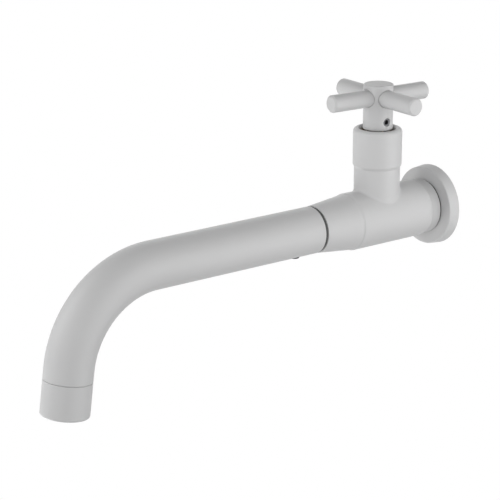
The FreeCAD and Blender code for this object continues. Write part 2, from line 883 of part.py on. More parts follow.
def spindle():
    """Brass spindle: tongue, head with its stop lug, stem, circlip groove and splined end."""
    circlip_groove = spindle_radius - circlip_groove_depth
    solid = turned([
        (spindle_head_bottom, 0),
        (spindle_head_bottom, disc_radius),
        (spindle_head_top, disc_radius),
        (spindle_head_top, spindle_radius),
        (circlip_bottom, spindle_radius),
        (circlip_bottom, circlip_groove),
        (circlip_top, circlip_groove),
        (circlip_top, spline_radius),
        (spline_top - spline_chamfer, spline_radius),
        (spline_top, spline_radius - spline_chamfer),
        (spline_top, 0),
    ])
    for middle in (spindle_ring_lower_height, spindle_ring_upper_height):
        solid = solid.cut(ring(
            middle - spindle_groove_width / 2,
            middle + spindle_groove_width / 2,
            spindle_radius - spindle_groove_depth,
            spindle_radius + cut_over,
        ))
    lug = sector(
        spindle_head_top - spindle_head_height / 2,
        spindle_head_top + stop_lug_height,
        spindle_radius / 2,
        disc_radius,
        0,
        stop_lug_angle,
    )
    tongue = Part.makeBox(
        2 * disc_radius,
        tongue_width,
        tongue_depth,
        Vector(-disc_radius, -tongue_width / 2, spindle_head_bottom - tongue_depth),
    )
    tongue = tongue.common(rod(spindle_head_bottom - tongue_depth, spindle_head_bottom, disc_radius))
    return on_handle_axis(solid.fuse([lug, tongue]).removeSplitter())


def spindle_o_ring(middle):
    """Seals the spindle in the bonnet."""
    inner = spindle_radius - spindle_groove_depth + ring_clearance / 2
    outer = spindle_radius + swivel_clearance - ring_clearance
    return on_handle_axis(o_ring(middle, inner, (outer - inner) / 2))


def spindle_glide_ring():
    """Thin ring that the circlip turns on."""
    inner = spindle_radius + swivel_clearance
    return on_handle_axis(ring(turret_top, circlip_bottom, inner, inner + glide_ring_width))


def spindle_circlip():
    """Open spring ring in the spindle's groove."""
    inner = spindle_radius - circlip_groove_depth + ring_clearance / 2
    outer = inner + circlip_width
    solid = ring(circlip_bottom, circlip_top, inner, outer)
    gap = Part.makeBox(
        outer + cut_over,
        circlip_gap_width,
        circlip_thickness,
        Vector(0, -circlip_gap_width / 2, circlip_bottom),
    )
    return on_handle_axis(solid.cut(gap))


def arm_angles():
    """Directions of the handle's arms at rest."""
    return [handle_rest_angle + index * 360 / arm_count for index in range(arm_count)]


def handle_hub():
    """Hub: splined socket below, a counterbored seat for each arm, and the set screw's hole."""
    solid = turned([
        (hub_bottom_height, 0),
        (hub_bottom_height, hub_radius - hub_bottom_chamfer),
        (hub_bottom_height + hub_bottom_chamfer, hub_radius),
        (hub_top_height, hub_radius, hub_top_round),
        (hub_top_height, 0),
    ])
    socket_radius = spline_radius + hub_socket_clearance
    solid = on_handle_axis(solid.cut(rod(hub_bottom_height, spline_top + hub_socket_spare, socket_radius)))
    for angle in arm_angles():
        seat = rod(arm_seat_radius, hub_radius + cut_over, arm_radius + thread_clearance)
        stud_end = arm_seat_radius - arm_stud_length - arm_stud_spare
        stud = rod(stud_end, arm_seat_radius, arm_stud_radius + thread_clearance)
        solid = solid.cut(on_handle_spoke(seat, arm_height, angle))
        solid = solid.cut(on_handle_spoke(stud, arm_height, angle))
    screw_hole = rod(0, hub_radius + cut_over, set_screw_radius)
    return solid.cut(on_handle_spoke(screw_hole, set_screw_height, handle_rest_angle))


def handle_arm(angle):
    """Round arm with a threaded stud, screwed into the hub."""
    solid = turned([
        (arm_seat_radius - arm_stud_length, 0),
        (arm_seat_radius - arm_stud_length, arm_stud_radius),
        (arm_seat_radius, arm_stud_radius),
        (arm_seat_radius, arm_radius),
        (arm_reach - arm_end_chamfer, arm_radius),
        (arm_reach, arm_radius - arm_end_chamfer),
        (arm_reach, 0),
    ])
    return on_handle_spoke(solid, arm_height, angle)


def handle_set_screw():
    """Grub screw that clamps the hub on the spindle."""
    outer_end = hub_radius - set_screw_recess
    inner_end = spline_radius + ring_clearance
    radius = set_screw_radius - thread_clearance
    solid = turned([
        (inner_end, 0),
        (inner_end, radius - set_screw_point),
        (inner_end + set_screw_point, radius),
        (outer_end - set_screw_rim, radius),
        (outer_end, radius - set_screw_rim),
        (outer_end, 0),
    ])
    solid = solid.cut(hexagon(outer_end - set_screw_key_depth, outer_end, set_screw_key_flats))
    return on_handle_spoke(solid, set_screw_height, handle_rest_angle)


def all_pieces():
    """Every piece of the tap under its name."""
    rear_ring, front_ring = spigot_ring_places()
    pieces = {
        "escutcheon": escutcheon(),
        "escutcheon_o_ring": escutcheon_o_ring(),
        "escutcheon_washer": escutcheon_washer(),
        "inlet_shank": inlet_shank(),
        "inlet_o_ring": inlet_o_ring(),
        "valve_body": valve_body(),
        "outlet_adapter": outlet_adapter(),
        "adapter_o_ring": adapter_o_ring(),
        "swivel_washer": swivel_washer(),
        "spigot_o_ring_rear": spigot_o_ring(rear_ring),
        "spigot_o_ring_front": spigot_o_ring(front_ring),
        "spout_tube": spout_tube(),
        "spout_inlet_bush": spout_inlet_bush(),
        "spout_retaining_screw": spout_retaining_screw(),
        "spout_outlet_bush": spout_outlet_bush(),
        "aerator_shell": aerator_shell(),
        "aerator_washer": aerator_washer(),
        "aerator_insert": aerator_insert(),
        "aerator_screen": aerator_screen(),
        "headwork_bonnet": headwork_bonnet(),
        "bonnet_washer": bonnet_washer(),
        "seat_seal": seat_seal(),
        "ceramic_disc_fixed": ceramic_disc_fixed(),
        "ceramic_disc_moving": ceramic_disc_moving(),
        "spindle": spindle(),
        "spindle_o_ring_lower": spindle_o_ring(spindle_ring_lower_height),
        "spindle_o_ring_upper": spindle_o_ring(spindle_ring_upper_height),
        "spindle_glide_ring": spindle_glide_ring(),
        "spindle_circlip": spindle_circlip(),
        "shroud_sleeve": shroud_sleeve(),
        "sleeve_o_ring": sleeve_o_ring(),
        "handle_hub": handle_hub(),
        "handle_set_screw": handle_set_screw(),
    }
    for index, angle in enumerate(arm_angles()):
        pieces["handle_arm_%d" % (index + 1)] = handle_arm(angle)
    return pieces


def main():
    os.makedirs("parts", exist_ok=True)
    for name, shape in all_pieces().items():
        if not shape.isValid() or len(shape.Solids) != 1 or shape.Volume <= 0:
            raise ValueError("bad solid: " + name)
        shape.Solids[0].exportStep("parts/" + name + ".step")
        print(name, round(shape.Volume, 1))


main()
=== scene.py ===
"""Wall-mounted basin tap: its painted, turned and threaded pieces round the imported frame, and its studio.

The file is laid out as an add-on and is run as a script. Lengths are in metres. The inlet axis leaves
the wall along -Y, and the handle's axis stands along +Z.
"""

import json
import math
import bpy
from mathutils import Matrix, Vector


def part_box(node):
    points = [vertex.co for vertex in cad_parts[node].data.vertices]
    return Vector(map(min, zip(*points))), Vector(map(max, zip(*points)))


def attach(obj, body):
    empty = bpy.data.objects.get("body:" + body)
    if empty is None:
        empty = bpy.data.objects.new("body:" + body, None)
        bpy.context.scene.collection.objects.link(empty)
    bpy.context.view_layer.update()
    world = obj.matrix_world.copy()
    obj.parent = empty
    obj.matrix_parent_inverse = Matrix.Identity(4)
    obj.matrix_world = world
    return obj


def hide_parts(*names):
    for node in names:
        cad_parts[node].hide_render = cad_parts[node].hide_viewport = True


bl_info = {
    "name": "Wall basin tap",
    "version": (1, 0, 0),
    "blender": (4, 5, 0),
    "location": "View3D > Sidebar > Tap",
    "description": "Makes the pieces of a wall-mounted basin tap round its packed frame",
    "category": "Object",
}

import bmesh
import bpy
import numpy as np
from bpy.props import FloatProperty, FloatVectorProperty, PointerProperty
from bpy.types import Operator, Panel, PropertyGroup
from mathutils import Matrix, Vector

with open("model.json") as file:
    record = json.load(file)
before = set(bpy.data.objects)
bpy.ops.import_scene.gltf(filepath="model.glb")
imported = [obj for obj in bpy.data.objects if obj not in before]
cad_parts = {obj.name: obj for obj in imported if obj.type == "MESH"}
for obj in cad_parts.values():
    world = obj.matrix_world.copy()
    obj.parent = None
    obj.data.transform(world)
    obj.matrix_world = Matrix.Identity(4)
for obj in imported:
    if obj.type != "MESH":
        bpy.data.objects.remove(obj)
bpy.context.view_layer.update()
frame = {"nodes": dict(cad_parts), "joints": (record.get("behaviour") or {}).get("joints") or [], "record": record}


def out_span(name):
    """Nearest and farthest distance from the wall, and the radius, of a piece on the inlet axis."""
    low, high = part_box(name)
    return -high.y, -low.y, high.x


def up_span(name):
    """Bottom, top and radius of a piece on the handle's axis."""
    low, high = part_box(name)
    return low.z, high.z, (high.x - low.x) / 2


joints = {joint["name"]: joint for joint in frame["joints"]}
mounts = {mount["name"]: mount for mount in frame["record"]["mounts"]}
handle_out = -joints["handle_turn"]["pos_m"][1]
thread_radius = mounts["inlet_shank"]["dims"]["r_mm"] / 1000
thread_length = mounts["inlet_shank"]["dims"]["length_mm"] / 1000

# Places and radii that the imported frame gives
_, escutcheon_front, escutcheon_radius = out_span("escutcheon")
washer_rear, washer_front, washer_radius = out_span("escutcheon_washer")
shank_rear, shank_front, collar_radius = out_span("inlet_shank")
barrel_rear, barrel_front, barrel_radius = out_span("valve_body")
adapter_rear, spigot_end, adapter_radius = out_span("outlet_adapter")
swivel_rear, swivel_front, swivel_radius = out_span("swivel_washer")
spout_start, _, spout_radius = out_span("spout_tube")
retainer_low, retainer_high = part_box("spout_retaining_screw")
retainer_out = -(retainer_low.y + retainer_high.y) / 2
retainer_radius = retainer_high.x
retainer_tip = -retainer_high.z
retainer_end = -retainer_low.z
neck_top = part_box("valve_body")[1].z
sleeve_bottom, sleeve_top, sleeve_radius = up_span("shroud_sleeve")
hub_bottom, hub_top, hub_radius = up_span("handle_hub")
arm_low, arm_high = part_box("handle_arm_1")
arm_radius = (arm_high.z - arm_low.z) / 2
arm_height = (arm_high.z + arm_low.z) / 2
set_screw_low, set_screw_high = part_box("handle_set_screw")
set_screw_radius = (set_screw_high.z - set_screw_low.z) / 2
set_screw_height = (set_screw_high.z + set_screw_low.z) / 2

# Clearances between pieces
thread_clearance = 0.00005
braze_gap = 0.00003
swivel_clearance = 0.00006
ring_clearance = 0.00004
slip_clearance = 0.0003

# Inlet shank: thread, key socket, grooved spigot and collar
thread_pitch = 0.001814
thread_depth = 0.001162
thread_flat = 1 / 6
thread_run_out = 0.002
shank_relief = 0.0002
shank_neck = thread_radius - shank_relief
inlet_bore = 0.006
key_flats = 0.013
key_depth = 0.010
shank_spigot = 0.01095
shank_ring_section = 0.0008
shank_groove = shank_spigot - 2 * shank_ring_section
shank_groove_width = 2 * (shank_ring_section + ring_clearance)
collar_round = 0.0003
collar_flare = 0.0009

# Escutcheon and its washer
escutcheon_draft = 0.0007
escutcheon_round = 0.0008
escutcheon_inner_round = 0.0012
escutcheon_wall = 0.0022
escutcheon_bore = thread_radius + slip_clearance
escutcheon_boss_wall = 0.0034
escutcheon_boss = escutcheon_bore + escutcheon_boss_wall
escutcheon_ring_section = 0.0009
escutcheon_groove_half = escutcheon_ring_section + ring_clearance
escutcheon_groove = shank_neck + 2 * escutcheon_groove_half
washer_bore = shank_neck + slip_clearance

# Shroud sleeve
sleeve_bore = 0.01295
sleeve_lip = 0.0024
sleeve_opening = 0.0106
sleeve_opening_round = 0.00189
sleeve_top_round = 0.00238
sleeve_bottom_fall = 0.00087
sleeve_bottom_slope = 0.0018
sleeve_bottom_round = 0.0015
sleeve_ring_section = 0.00055

# Valve body: barrel, neck, and the ways in them
barrel_rear_round = 0.0011
barrel_front_slope = 0.001
barrel_front_fall = 0.00046
barrel_front_round = 0.0005
neck_step = 0.0009
neck_radius = sleeve_radius - neck_step
neck_round = 0.0024
neck_shoulder_round = 0.00004
neck_spigot_fit = 0.00035
neck_spigot = sleeve_bore - neck_spigot_fit
neck_groove_half = sleeve_ring_section + ring_clearance
neck_groove = sleeve_bore - 2 * neck_groove_half
neck_groove_below_top = 0.0056
inlet_socket = shank_spigot + thread_clearance
inlet_socket_spare = 0.001
inlet_socket_end = shank_front + inlet_socket_spare
inlet_way = 0.007
inlet_way_beyond = 0.0054
outlet_bore = 0.0115
outlet_bore_beyond = 0.0087
seat_floor = 0.0015
seat_bore = 0.0055
seat_bore_floor = 0.008
chamber_undercut = 0.00072
chamber_radius = thread_radius + chamber_undercut
chamber_bottom = outlet_bore + seat_floor
chamber_below_shoulder = 0.0015
chamber_top = sleeve_bottom - chamber_below_shoulder
headwork_bore = thread_radius + thread_clearance

# Spout
spout_wall = 0.00125
spout_inner = spout_radius - spout_wall
spout_straight = 0.117
spout_bend_radius = 0.0578
spout_bend_angle = math.radians(82.3)
spout_end_straight = 0.0057
spout_bush_wall = 0.00255

# Outlet adapter and its swivel spigot
adapter_thread = outlet_bore - thread_clearance
adapter_ring_section = 0.0009
adapter_groove_width = 2 * (adapter_ring_section + ring_clearance)
adapter_groove = outlet_bore - adapter_groove_width
adapter_front_step = 0.0001
adapter_front_radius = spout_radius + adapter_front_step
adapter_bore = 0.0072
swivel_spigot = spout_inner - spout_bush_wall
swivel_bore = swivel_spigot + swivel_clearance
spigot_ring_from_end = 0.006
spigot_ring_spacing = 0.006
spigot_groove_width = 0.0022
spigot_groove_depth = 0.0016
retainer_groove_width = 0.0032
retainer_groove_depth = 0.0015

# Retaining screw
retainer_head_clearance = 0.00015
retainer_hole = retainer_radius + retainer_head_clearance
retainer_head_seat = 0.0005
retainer_seat = spout_inner - braze_gap - retainer_head_seat
retainer_thread = 0.002
retainer_shank = retainer_thread - braze_gap
retainer_dog = 0.0014
retainer_flats = 0.0025
retainer_key_depth = 0.0016
retainer_round = 0.0005

# Aerator shell, and what is screwed and clamped in it
nipple_step = 0.00065
nipple_radius = spout_inner - nipple_step
nipple_length = 0.009
tip_washer_thickness = 0.0014
insert_flange_thickness = 0.0015
insert_step = 0.0011
insert_side_clearance = 0.00015
shell_length = 0.0209
shell_round = 0.0015
shell_seam_width = 0.00025
shell_seam_depth = 0.0006
shell_socket = nipple_radius + thread_clearance
shell_shoulder = nipple_length + tip_washer_thickness + insert_flange_thickness
shell_bore = nipple_radius - insert_step + insert_side_clearance

# Handle: hub, arms and set screw
handle_rest_angle = math.radians(-3)
hub_top_round = 0.0009
hub_bottom_chamfer = 0.0004
spline_radius = 0.004
hub_socket = spline_radius + swivel_clearance
hub_socket_depth = 0.0115
hub_socket_top = hub_bottom + hub_socket_depth
arm_count = 4
arm_reach = 0.036
arm_end_chamfer = 0.001
arm_seat = 0.0061
arm_seat_gap = 0.00012
arm_stud = 0.002
arm_stud_length = 0.003
arm_stud_spare = 0.0002
arm_stud_floor = arm_seat - arm_stud_length - arm_stud_spare
set_screw_hole = 0.0025
set_screw_recess = 0.0008
set_screw_outer = hub_radius - set_screw_recess
set_screw_inner = spline_radius + ring_clearance
set_screw_point = 0.0006
set_screw_rim = 0.0003
set_screw_flats = 0.003
set_screw_key_depth = 0.0022

# How finely the surfaces are divided. hold is how near an edge the row beside it stands, points
# within weld of each other become one, and neck_rows are the shares of the neck's straight at which
# it has rows.
arc_step = math.radians(12)
hold = 0.00006
weld = 1e-7
turned_steps = 128
small_steps = 72
barrel_steps = 120
thread_steps = 96
thread_rows = 16
bend_rows = 42
lip_rows = 5
root_rows = 7
neck_rows = (0.02, 0.25, 0.5, 0.75, 0.98)
sharp_angle = math.radians(32)

# Blocks of cells round the side holes: half the cells across the hole, the layers of cells round
# it, and half the block's width. block_growth above 1 keeps the cells beside the hole smaller.
root_block = (20, 6, 0.0194)
retainer_block = (6, 4, 0.0055)
arm_block = (12, 4, 0.0068)
screw_block = (6, 4, 0.0036)
screw_socket_block = (6, 14, 0.0039)
block_growth = 1.3

# The photo's width, the floor's rings, whose radius doubles from the first, the points that the lamps
# look at, and the lamps: name, azimuth and elevation in degrees as the camera's are given, size, power
# in watts, distance and point
frame_pixels = 500
floor_first_ring = 0.5
floor_rings = 7
tap_middle = (0, -0.1, 0.02)
handle_middle = (0, -0.04, 0.06)
spout_end = (0, -0.25, 0)
lamps = (
    ("low_left_lamp", 20, -15, 0.8, 4.85, 1.5, tap_middle),
    ("left_lamp", 30, 20, 0.8, 5.15, 1.5, tap_middle),
    ("rear_lamp", 240, 20, 0.8, 3.45, 1.5, tap_middle),
    ("under_lamp", 300, -50, 0.55, 4.4, 1.0, tap_middle),
    ("near_right_lamp", 90, 15, 0.45, 2.15, 0.75, handle_middle),
    ("near_low_right_lamp", 115, -15, 0.45, 2.1, 0.75, handle_middle),
    ("near_far_right_lamp", 140, 15, 0.45, 1.57, 0.75, handle_middle),
    ("near_far_left_lamp", 330, 20, 0.45, 2.4, 0.75, handle_middle),
    ("near_tip_lamp", 330, -10, 0.45, 0.85, 0.75, spout_end),
)

OUT = np.array([0.0, -1.0, 0.0])
UP = np.array([0.0, 0.0, 1.0])
ACROSS = np.array([1.0, 0.0, 0.0])


class TapShape(PropertyGroup):
    """Sizes of the small roundings that the casting, the turning and the paint leave."""

    edge_round: FloatProperty(
        name="Edge rounding", description="Radius on the turned edges under the paint",
        subtype="DISTANCE", unit="LENGTH", min=0.0001, max=0.0004, default=0.0003,
    )
    seat_round: FloatProperty(
        name="Seat rounding", description="Radius round the hub's arm seats and its screw hole",
        subtype="DISTANCE", unit="LENGTH", min=0.00005, max=0.0004, default=0.0003,
    )


class TapFinish(PropertyGroup):
    """Colours and textures of the tap's finishes."""

    paint_colour: FloatVectorProperty(
        name="Paint", description="Colour of the powder coat", subtype="COLOR",
        size=3, min=0, max=1, default=(0.5, 0.5, 0.502),
    )
    paint_roughness: FloatProperty(
        name="Paint roughness", description="How matte the powder coat is",
        subtype="FACTOR", min=0, max=1, default=0.55,
    )
    paint_specular: FloatProperty(
        name="Paint sheen", description="Strength of the powder coat's dull reflection",
        subtype="FACTOR", min=0, max=1, default=0.5,
    )
    paint_grain: FloatProperty(
        name="Grain spacing", description="Distance between the bumps of the powder coat",
        subtype="DISTANCE", unit="LENGTH", min=0.0001, max=0.01, default=0.0007,
    )
    paint_bump: FloatProperty(
        name="Grain height", description="Height of the bumps of the powder coat",
        subtype="DISTANCE", unit="LENGTH", min=0, max=0.001, default=0.000012,
    )


class TapStage(PropertyGroup):
    """Camera, floor and even light of the studio."""

    azimuth: FloatProperty(
        name="Azimuth", description="Turn of the camera about the upright axis",
        subtype="ANGLE", unit="ROTATION", default=math.radians(52.19442),
    )
    elevation: FloatProperty(
        name="Elevation", description="Height of the camera above the horizon",
        subtype="ANGLE", unit="ROTATION", default=math.radians(16.82631),
    )
    distance: FloatProperty(
        name="Distance", description="Distance from the camera to its target",
        subtype="DISTANCE", unit="LENGTH", default=1.1834,
    )
    scale: FloatProperty(
        name="Scale", description="Pixels to the metre at the target", default=1669.17,
    )
    target: FloatVectorProperty(
        name="Target", description="Point on the tap that the framing is measured from",
        subtype="TRANSLATION", size=3, default=(0, -0.1, 0.01),
    )
    target_pixel: FloatVectorProperty(
        name="Target pixel", description="Where the target stands in the frame, from its top left corner",
        size=2, default=(309.512, 214.271),
    )
    floor_height: FloatProperty(
        name="Floor", description="Height of the floor, below the tap's inlet",
        subtype="DISTANCE", unit="LENGTH", default=-0.95,
    )
    floor_kept: FloatProperty(
        name="Floor kept", description="Distance up to which the floor shows its shadow",
        subtype="DISTANCE", unit="LENGTH", min=0, default=1.2,
    )
    floor_white: FloatProperty(
        name="Floor white", description="Distance from which the floor is as white as the background",
        subtype="DISTANCE", unit="LENGTH", min=0, default=1.6,
    )
    floor_glow: FloatProperty(
        name="Floor glow", description="Even glow that the camera sees on the floor", min=0, default=0.5,
    )
    ambient: FloatProperty(
        name="Ambient", description="Strength of the even light from all round", min=0, default=0.12,
    )


class Skin:
    """Points and four-sided faces, gathered before they become one mesh."""

    def __init__(self):
        self.points = np.empty((0, 3))
        self.faces = np.empty((0, 4), int)

    def add(self, points):
        """Adds a grid of points and gives the grid of their numbers."""
        first = len(self.points)
        self.points = np.vstack([self.points, points.reshape(-1, 3)])
        return first + np.arange(points[..., 0].size).reshape(points.shape[:-1])

    def cover(self, numbers, closed=False, keep=None):
        """Faces between neighbouring rows of a grid whose columns run right round."""
        here = numbers if closed else numbers[:-1]
        after = np.roll(numbers, -1, axis=0) if closed else numbers[1:]
        cells = np.stack([here, np.roll(here, -1, axis=1), np.roll(after, -1, axis=1), after], axis=-1)
        cells = cells.reshape(-1, 4) if keep is None else cells[keep[:len(here)]]
        self.faces = np.vstack([self.faces, cells])

    def link(self, loop, points):
        """Joins rows of points to a loop of numbers, and gives the numbers of the last row."""
        numbers = self.add(points)
        self.cover(np.vstack([loop[None], numbers]))
        return numbers[-1]


def turns(steps):
    """Even angles once round, without the last."""
    return np.arange(steps) * 2 * math.pi / steps


def rounded(before, corner, after, radius):
    """Rows of the arc that rounds one corner of an outline.

    The arc touches both sides at radius / tan(half the corner's angle) from the corner. Its centre
    is on the bisector, at radius / sin(half the angle).
    """
    to_before = (before - corner) / np.linalg.norm(before - corner)
    to_after = (after - corner) / np.linalg.norm(after - corner)
    half = math.acos(np.clip(to_before @ to_after, -1, 1)) / 2
    middle = (to_before + to_after) / np.linalg.norm(to_before + to_after)
    centre = corner + middle * radius / math.sin(half)
    start = corner + to_before * radius / math.tan(half) - centre
    sweep = math.pi - 2 * half
    sense = -np.sign(to_before[0] * to_after[1] - to_before[1] * to_after[0])
    angle = sense * np.linspace(0, sweep, max(2, math.ceil(sweep / arc_step)) + 1)
    cos, sin = np.cos(angle), np.sin(angle)
    return centre + np.stack([start[0] * cos - start[1] * sin, start[0] * sin + start[1] * cos], 1)


def outline(corners, closed=False):
    """Rows of (along, radius) through the corners, and the row at which each corner starts.

    A corner is (along, radius, rounding, cells). Rounding swaps it for an arc, and cells divides the
    side after it evenly. Any other side has a row close to each of its ends, so that the smooth
    shading of a rounded edge doesn't spread over the flat beside it.
    """
    places = np.array([corner[:2] for corner in corners], float)
    count = len(corners)
    arcs = []
    for index, corner in enumerate(corners):
        here = places[index]
        if len(corner) > 2 and corner[2] > 0:
            arcs.append(rounded(places[index - 1], here, places[(index + 1) % count], corner[2]))
        else:
            arcs.append(here[None])
    rows = []
    starts = []
    for index, arc in enumerate(arcs):
        starts.append(sum(len(part) for part in rows))
        rows.append(arc)
        if index == count - 1 and not closed:
            break
        cells = corners[index][3] if len(corners[index]) > 3 else 1
        first, last = arc[-1], arcs[(index + 1) % count][0]
        length = np.linalg.norm(last - first)
        if cells > 1:
            share = np.linspace(0, 1, cells + 1)[1:-1]
        elif length > 4 * hold:
            share = np.array([hold / length, 1 - hold / length])
        else:
            share = np.empty(0)
        rows.append(first + share[:, None] * (last - first))
    return np.vstack(rows), starts


def axis_place(origin, direction, zero, side):
    """Maps (along, angle, radius) about a straight axis to points. Angles go from zero to side."""

    def place(along, angle, radius):
        along, angle, radius = np.broadcast_arrays(along, angle, radius)
        flat = np.cos(angle)[..., None] * zero + np.sin(angle)[..., None] * side
        return origin + along[..., None] * direction + radius[..., None] * flat

    return place


def spoke_place(height, angle):
    """Place about a spoke of the handle, outwards from its axis."""
    direction = np.array([math.cos(angle), math.sin(angle), 0])
    return axis_place(handle_out * OUT + height * UP, direction, UP, np.cross(direction, UP))


inlet_place = axis_place(0 * OUT, OUT, UP, ACROSS)
neck_place = axis_place(handle_out * OUT, UP, OUT, ACROSS)
retainer_place = axis_place(retainer_out * OUT, -UP, OUT, ACROSS)


def spout_line(along):
    """Distance out, height and slope of the spout's centre line, along it from its start.

    The slope grows as along / bend radius over the bend. The line follows the arc's sine and
    cosine, and what is left of the length runs straight on along the slope.
    """
    slope = np.clip((along - spout_straight) / spout_bend_radius, 0, spout_bend_angle)
    rest = along - spout_straight - spout_bend_radius * slope
    out = spout_start + spout_straight + spout_bend_radius * np.sin(slope) + rest * np.cos(slope)
    height = spout_bend_radius * (np.cos(slope) - 1) - rest * np.sin(slope)
    return out, height, slope


spout_length = spout_straight + spout_bend_radius * spout_bend_angle + spout_end_straight


def spout_place(along, angle, radius):
    """Maps (along, angle, radius) about the spout's line to points. The angle starts on top."""
    along, angle, radius = np.broadcast_arrays(along, angle, radius)
    out, height, slope = spout_line(along)
    rise = radius * np.cos(angle)
    return np.stack(
        [radius * np.sin(angle), -out - rise * np.sin(slope), height + rise * np.cos(slope)], axis=-1,
    )


def tip_place(along, angle, radius):
    """Place about the axis of the spout's tip, along the flow from its seam."""
    out, height, slope = spout_line(np.array(spout_length))
    flow = np.array([0, -math.cos(slope), -math.sin(slope)])
    return axis_place(out * OUT + height * UP, flow, np.cross(flow, ACROSS), ACROSS)(along, angle, radius)


def grid(rows, steps):
    """Along, angle and radius of rows turned into a grid, and the cells to keep, which is all."""
    angle = turns(steps) + 0 * rows[:, :1]
    return rows[:, :1] + 0 * angle, angle, rows[:, 1:] + 0 * angle, np.ones(angle.shape, bool)


def hexagonal(angle, flats):
    """Radius of a hexagon at an angle: half its width across flats, over the cosine from a flat."""
    return flats / 2 / np.cos(np.mod(angle, math.pi / 3) - math.pi / 6)


def turned(place, corners, closed=False, steps=turned_steps, flats=0):
    """Skin turned from an outline. Its rows at half of flats become a hexagon of that width."""
    rows, _ = outline(corners, closed)
    along, angle, radius, _ = grid(rows, steps)
    if flats:
        radius[rows[:, 1] == flats / 2] = hexagonal(angle[0], flats)
    skin = Skin()
    skin.cover(skin.add(place(along, angle, radius)), closed)
    return skin


class SideHole:
    """A hole in the side of a turned grid of (along, angle, radius) points.

    Of a block of 2 * (half + layers) cells each way, the inner 2 * half are left out. A point of
    the block goes to the straight line from the hole's edge to the block's own edge, as far along
    it as its ring of cells is out, so the cells change evenly from round to square.
    """

    def __init__(self, along, angle, half, layers, width, steps=turned_steps):
        self.along = along
        self.angle = angle
        self.half = half
        self.layers = layers
        self.cells = half + layers
        self.width = width
        self.step = 2 * math.pi / steps
        self.turn = turns(8 * half)

    def block(self, radius, backwards=False):
        """The block's two corners in an outline, with its even cells between them."""
        sense = -1 if backwards else 1
        return [
            (self.along - sense * self.width, radius, 0, 2 * self.cells),
            (self.along + sense * self.width, radius),
        ]

    def open(self, first_row, along, angle, keep, edge, backwards=False):
        """Redraws the block in a grid's along and angle, and gives the loop round the hole."""
        sense = -1 if backwards else 1
        count = along.shape[1]
        offset = np.arange(-self.cells, self.cells + 1)
        rows = first_row + self.cells + sense * offset[:, None] + 0 * offset
        columns = np.mod(round(self.angle / self.step) + offset + 0 * offset[:, None], count)
        ring = np.maximum(np.abs(offset[:, None]), np.abs(offset))
        u = offset[:, None] / np.maximum(ring, 1)
        v = offset / np.maximum(ring, 1)
        eighth = math.pi / 4
        on_rows = np.where(u > 0, eighth * v, 4 * eighth - eighth * v)
        on_columns = np.where(v > 0, 2 * eighth - eighth * u, 6 * eighth + eighth * u)
        turn = np.mod(np.where(np.abs(u) >= np.abs(v), on_rows, on_columns), 2 * math.pi)
        edge_along, edge_angle = edge(turn)
        share = np.clip((ring - self.half) / self.layers, 0, 1) ** block_growth
        new_along = self.along + edge_along * (1 - share) + u * self.width * share
        new_angle = self.angle + edge_angle * (1 - share) + v * self.cells * self.step * share
        shown = ring >= self.half
        along[rows[shown], columns[shown]] = new_along[shown]
        angle[rows[shown], columns[shown]] = new_angle[shown]
        middle = first_row + self.cells
        hidden = columns[0, self.layers:self.layers + 2 * self.half]
        keep[middle - self.half:middle + self.half, hidden] = False
        loop = ring == self.half
        order = np.argsort(turn[loop])
        return rows[loop][order], columns[loop][order]

    def drilled(self, radius, surface):
        """Edge of a round hole square to the axis: its side is the surface's times an arc's sine."""

        def edge(turn):
            return radius * np.cos(turn), np.arcsin(radius * np.sin(turn) / surface)

        return edge

    def rows(self, radius, height):
        """(along, angle, radius) of rows round the hole's axis, at heights from the turned axis."""
        radius, height, turn = np.broadcast_arrays(radius, height, self.turn)
        side = radius * np.sin(turn)
        angle = self.angle + np.arctan2(side, height)
        return self.along + radius * np.cos(turn), angle, np.hypot(side, height)

    def lip(self, radius, rounding, surface):
        """Rows over the rounded edge of the hole, after the first.

        They go a quarter turn down from the surface: the radius shrinks by the rounding and the
        depth grows to it.
        """
        quarter = np.linspace(0, math.pi / 2, lip_rows + 1)[1:, None]
        ring = radius + rounding * (1 - np.sin(quarter))
        depth = rounding * (1 - np.cos(quarter))
        height = np.sqrt(surface ** 2 - (ring * np.sin(self.turn)) ** 2) - depth
        return self.rows(ring, height)


def finished(name, skin, body, slot, material, *nodes):
    """Makes a piece of a skin: faces outwards, smooth, with its sharp edges marked."""
    used = np.unique(skin.faces)
    mesh = bpy.data.meshes.new(name)
    mesh.from_pydata(skin.points[used].tolist(), [], np.searchsorted(used, skin.faces).tolist())
    shape = bmesh.new()
    shape.from_mesh(mesh)
    bmesh.ops.remove_doubles(shape, verts=shape.verts, dist=weld)
    bmesh.ops.recalc_face_normals(shape, faces=shape.faces)
    open_edges = [edge for edge in shape.edges if len(edge.link_faces) != 2]
    if open_edges:
        raise RuntimeError(f"{name} has {len(open_edges)} open edges")
    shape.to_mesh(mesh)
    shape.free()
    mesh.shade_smooth()
    mesh.set_sharp_from_angle(angle=sharp_angle)
    mesh.materials.append(material)
    piece = bpy.data.objects.new(name, mesh)
    bpy.context.scene.collection.objects.link(piece)
    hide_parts(*nodes)
    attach(piece, body)
    return piece


def group(name, inputs, outputs):
    """New node group with named sockets, and its input and output nodes."""
    tree = bpy.data.node_groups.new(name, "ShaderNodeTree")
    for label, kind, value in inputs:
        socket = tree.interface.new_socket(label, in_out="INPUT", socket_type="NodeSocket" + kind)
        if value is not None:
            socket.default_value = value
    for label, kind in outputs:
        tree.interface.new_socket(label, in_out="OUTPUT", socket_type="NodeSocket" + kind)
    return tree, tree.nodes.new("NodeGroupInput").outputs, tree.nodes.new("NodeGroupOutput").inputs


